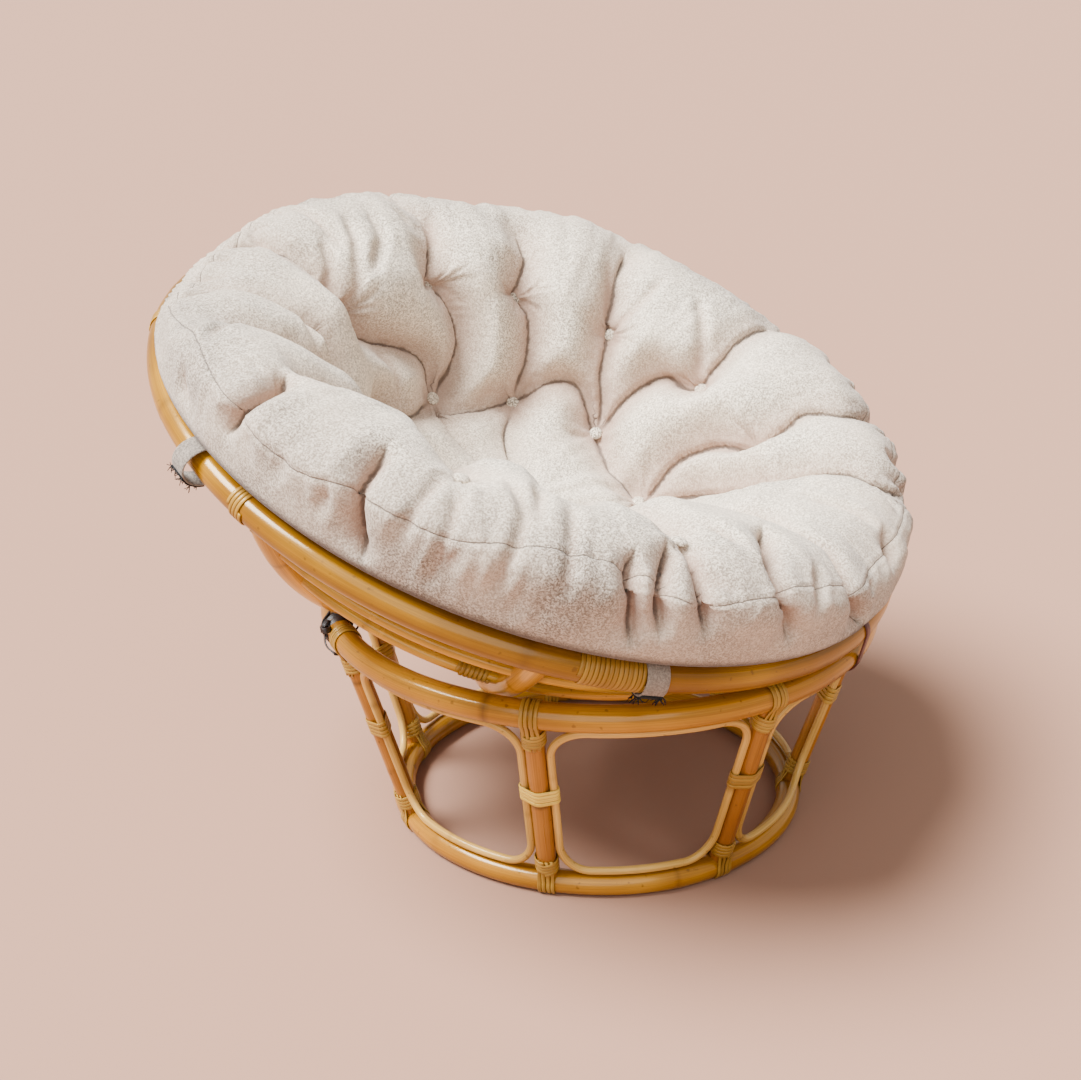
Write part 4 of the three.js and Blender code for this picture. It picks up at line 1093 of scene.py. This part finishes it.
def buttons():
    # covered buttons drawn down into the tufts
    mesh = bmesh.new()
    tree = BVHTree.FromObject(cushion, bpy.context.evaluated_depsgraph_get())
    spots = np.array(buttonSizes["spots"], float)
    for spot, normal in zip(buttonPlaces(), surfaceNormal(spots[:, 0], spots[:, 1])):
        place = bowlPlace @ Vector(spot)
        up = (bowlPlace.to_3x3() @ Vector(normal)).normalized()
        hit, _, _, _ = tree.ray_cast(place + up * 0.08, -up)
        seat = (hit if hit is not None else place) + up * 0.002
        turn = up.to_track_quat("Z", "Y").to_matrix().to_4x4()
        size = buttonSizes["radius"]
        grow = Matrix.Diagonal((size, size, size * 0.42, 1))
        bmesh.ops.create_uvsphere(mesh, u_segments=20, v_segments=12, radius=1.0,
                                  matrix=Matrix.Translation(seat) @ turn @ grow)
    return finishPiece(mesh, "coveredButtons", linenButton, "cushion")


buttons()
print("scene: cushion dressed")


# Straps and ties

strapSizes = {"width": 0.030, "thickness": 0.0024, "bearings": [249.5, 319],
              "loops": [(0.0045, -0.0020, 0.0310, 0.0270), (0.0010, -0.0006, 0.0245, 0.0240)]}


def strapPath(bearing, loop):
    # from under the cushion's edge over the rim and round it, as places and outward directions
    across, down, wide, tall = loop
    out, up = around(bearing, 1, 0), Vector((0, 0, 1))
    origin = around(bearing, bowlSizes["rimRadius"], -rimDrop)
    spots, facings = [], []
    for angle in np.radians(np.arange(88, -190, -6)):
        spots.append((across + wide * math.cos(angle), down + tall * math.sin(angle)))
        facings.append((math.cos(angle), math.sin(angle)))
    return [origin + out * a + up * b for a, b in spots], [(out * a + up * b).normalized() for a, b in facings]


def strapLoop(number, bearing, loop):
    # a cloth strap sewn to the cushion's lower edge, with a frayed hook patch where it closes
    points, outs = strapPath(bearing, loop)
    mesh = bmesh.new()
    section = bandSection(strapSizes["width"], strapSizes["thickness"])
    sweepInto(mesh, framed(points, outs), section, seedShift=number)
    finishPiece(mesh, f"rimStrap{number}", webbing, "cushion", [f"cushion_strap_{number}"], bowlPlace)
    mesh = bmesh.new()
    side, up = around(bearing + 90, 1, 0), Vector((0, 0, 1))
    patch = [point + out * 0.0023 for point, out in zip(points[19:32], outs[19:32])]
    section = bandSection(strapSizes["width"] * 0.96, 0.0021)
    sweepInto(mesh, framed(patch, outs[19:32]), section, seedShift=number)
    for i in range(46):
        root = patch[random.choice((0, 3, 6, 9))] + side * random.choice((-0.0135, 0.0135))
        tip = root + outs[24] * random.uniform(0.001, 0.006) + side * random.uniform(-0.009, 0.009)
        tip -= up * random.uniform(-0.002, 0.006)
        middle = root.lerp(tip, 0.5) + up * random.uniform(-0.002, 0.001)
        sweepInto(mesh, framed([root, middle, tip], [outs[25]] * 3), roundSection(0.0005, 5))
    finishPiece(mesh, f"hookPatch{number}", hookTape, "cushion", place=bowlPlace)


hookTape = linenMaterial("hookTape", dict(webLook, light=(0.02, 0.02, 0.02), sideShadeColour=(0.02, 0.02, 0.02),
                                          dark=(0.004, 0.004, 0.004), warm=(0.02, 0.02, 0.02), sheen=0.02))
for number, (bearing, loop) in enumerate(zip(strapSizes["bearings"], strapSizes["loops"]), 1):
    strapLoop(number, bearing, loop)


def leatherMaterial(name, look):
    material, tree, shader = newMaterial(name)
    place = addNode(tree, "ShaderNodeTexCoord").outputs["Object"]
    patches = noiseValue(tree, place, 60.0, 3.0)
    cells = addNode(tree, "ShaderNodeTexVoronoi", inputs={"Vector": place, "Scale": 900.0}).outputs["Distance"]
    colour = mixColour(tree, rampNode(tree, patches, [(0.35, 0.0), (0.7, 1.0)]), look["dark"], look["light"])
    tree.links.new(colour, shader.inputs["Base Color"])
    bump = addNode(tree, "ShaderNodeBump", inputs={"Height": cells, "Strength": 0.35, "Distance": 0.0004})
    tree.links.new(bump.outputs["Normal"], shader.inputs["Normal"])
    shader.inputs["Roughness"].default_value = 0.42
    return material


darkLeather = leatherMaterial("darkLeather", {"light": (0.022, 0.012, 0.010), "dark": (0.006, 0.004, 0.004)})
redLeather = leatherMaterial("redLeather", {"light": (0.10, 0.020, 0.016), "dark": (0.045, 0.009, 0.008)})


tieSizes = {"lift": 0.0032, "turnShifts": [0.0105, -0.0035], "turnBand": (0.011, 0.0024),
            "endBand": (0.008, 0.002), "knotLoops": [(20, 0.0085), (200, 0.0095), (-60, 0.0075)], "tail": 0.045}


def frontTie():
    rimLow = Vector((0, 0, 0))
    lowPolar = rimPolar - bowlTilt
    rimSphere = math.hypot(bowlSizes["rimRadius"], rimDrop)
    circles = [
        (standSizes["topRadius"], standSizes["topHeight"], standSizes["topTube"]),
        (rimSphere * math.sin(lowPolar), bowlCentre.z - rimSphere * math.cos(lowPolar), bowlSizes["rimTube"]),
    ]
    mesh = bmesh.new()
    stations = hullStations(circles, 0.0014, rimLow, around(0, 1, 0), Vector((0, 0, 1)))
    sweepInto(mesh, stations, bandSection(0.012, 0.0024), True)
    return finishPiece(mesh, "frontTieBand", redLeather, "ties", ["leather_tie_front"], standPlace)


def sideTie():
    ringSphere = math.hypot(standSizes["topRadius"], bowlCentre.z - standSizes["topHeight"])
    ringPolar = math.asin(standSizes["topRadius"] / ringSphere)
    bearing = bowlSizes["ribs"][5]
    lean = Matrix.Rotation(bowlTilt, 3, "X")
    slide = math.cos(math.radians(bearing)) * math.sin(bowlTilt)
    polar = math.atan2(slide, math.cos(bowlTilt)) + math.acos(
        math.cos(ringPolar) / math.hypot(slide, math.cos(bowlTilt)))
    direction = lean @ onSphere(bearing, polar, 1)
    along = lean @ onSphere(bearing, polar + math.pi / 2, 1)
    ringWay = direction.cross(Vector((0, 0, 1))).normalized()
    slant = (along + ringWay).normalized()
    share = math.sin(slant.angle(along))
    origin = direction * ribSphere + Vector((0, 0, bowlCentre.z))
    path = hullPath([(0, 0, bowlSizes["ribTube"]), (0, ringSphere - ribSphere, standSizes["topTube"])], 0.0016)
    points = [origin + slant * (spot.x / share) + direction * spot.y for spot in path]
    middle = sum(path, Vector((0, 0))) / len(path)
    outs = [(slant * (spot.x - middle.x) + direction * (spot.y - middle.y)).normalized() for spot in path]
    mesh = bmesh.new()
    sweepInto(mesh, framed(points, outs, True), bandSection(0.012, 0.0024), True)
    finishPiece(mesh, "sideTieBand", darkLeather, "ties", ["leather_tie_side"], standPlace)
    sideTieEnds(origin + direction * (ringSphere - ribSphere), direction, along, ringWay, polar)


def sideTieEnds(middle, direction, along, ringWay, polar):
    # a second turn round the ring, its knot and a loose end that lies along the ring
    mesh = bmesh.new()
    out = direction * math.sin(polar) + along * math.cos(polar)
    down = direction * math.cos(polar) - along * math.sin(polar)
    reach = standSizes["topTube"] + tieSizes["lift"]
    for shift in tieSizes["turnShifts"]:
        turns = [out * math.cos(angle) + down * math.sin(angle) for angle in np.radians(np.arange(0, 360, 10))]
        points = [middle + ringWay * shift + turn * reach for turn in turns]
        sweepInto(mesh, framed(points, turns, True), bandSection(*tieSizes["turnBand"]), True)
    for tilt, size in tieSizes["knotLoops"]:
        way = ringWay * math.cos(math.radians(tilt)) + down * math.sin(math.radians(tilt))
        knot = middle + out * (reach + size * 0.5) + way * size * 0.7 - down * tieSizes["lift"] * 2
        turns = [way * math.cos(angle) + out * math.sin(angle) for angle in np.radians(np.arange(0, 360, 20))]
        points = [knot + turn * size * (1 if abs(turn.dot(way)) > 0.7 else 0.7) for turn in turns]
        sweepInto(mesh, framed(points, turns, True), bandSection(*tieSizes["endBand"]), True)
    points, outs = [], []
    for share in np.linspace(0, 1, 12):
        angle = math.radians(10 + 60 * share)
        outs.append(out * math.cos(angle) + down * math.sin(angle))
        points.append(middle - ringWay * (0.004 + tieSizes["tail"] * share)
                      + outs[-1] * (reach + 0.0026 + 0.002 * math.sin(5 * share)))
    sweepInto(mesh, framed(points, outs), bandSection(*tieSizes["endBand"]))
    return finishPiece(mesh, "sideTieEnds", darkLeather, "ties", place=standPlace)


frontTie()
sideTie()
print("scene: straps and ties made")


# Floor, light and camera

studioSizes = {
    "floor": (0.318, 0.178, 0.122), "floorReach": 60, "air": (1.0, 0.975, 0.95), "airStrength": 0.68,
    "lights": {"keySun": ((-0.8, 0.9, 2.0), 36, 16.0), "frontSun": ((-1.8, -0.9, 1.3), 60, 1.7)},
}


def studio():
    floorMaterial, tree, shader = newMaterial("paleFloor")
    shader.inputs["Base Color"].default_value = (*studioSizes["floor"], 1)
    shader.inputs["Roughness"].default_value = 0.9
    shader.inputs["Specular IOR Level"].default_value = 0.1
    mesh = bmesh.new()
    bmesh.ops.create_grid(mesh, x_segments=1, y_segments=1, size=studioSizes["floorReach"])
    data = bpy.data.meshes.new("floor")
    mesh.to_mesh(data)
    mesh.free()
    data.materials.append(floorMaterial)
    floor = bpy.data.objects.new("floor", data)
    bpy.context.collection.objects.link(floor)
    world = bpy.data.worlds.new("studioAir")
    bpy.context.scene.world = world
    world.use_nodes = True
    background = world.node_tree.nodes["Background"]
    background.inputs["Color"].default_value = (*studioSizes["air"], 1)
    background.inputs["Strength"].default_value = studioSizes["airStrength"]
    for name, (towards, spread, power) in studioSizes["lights"].items():
        light = bpy.data.lights.new(name, "SUN")
        light.energy, light.angle = power, math.radians(spread)
        lamp = bpy.data.objects.new(name, light)
        lamp.rotation_euler = Vector(towards).to_track_quat("Z", "Y").to_euler()
        bpy.context.collection.objects.link(lamp)


cameraSizes = {"fromBowl": (-1.9640, -1.1017, 0.4903), "forward": (0.7922, 0.4837, -0.3722),
               "up": (0.3176, 0.194, 0.9282), "focalPixels": 1700, "imageWidth": 1081}


def addCamera():
    data = bpy.data.cameras.new("camera")
    data.sensor_width = 36
    data.lens = cameraSizes["focalPixels"] / cameraSizes["imageWidth"] * data.sensor_width
    camera = bpy.data.objects.new("camera", data)
    bpy.context.collection.objects.link(camera)
    forward = Vector(cameraSizes["forward"]).normalized()
    right = forward.cross(Vector(cameraSizes["up"])).normalized()
    up = right.cross(forward)
    turn = Matrix((right, up, -forward)).transposed().to_4x4()
    camera.matrix_world = Matrix.Translation(bowlCentre + Vector(cameraSizes["fromBowl"])) @ turn
    bpy.context.scene.camera = camera


studio()
addCamera()
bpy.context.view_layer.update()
print("scene: finished", round(time.time() - begun), "s")
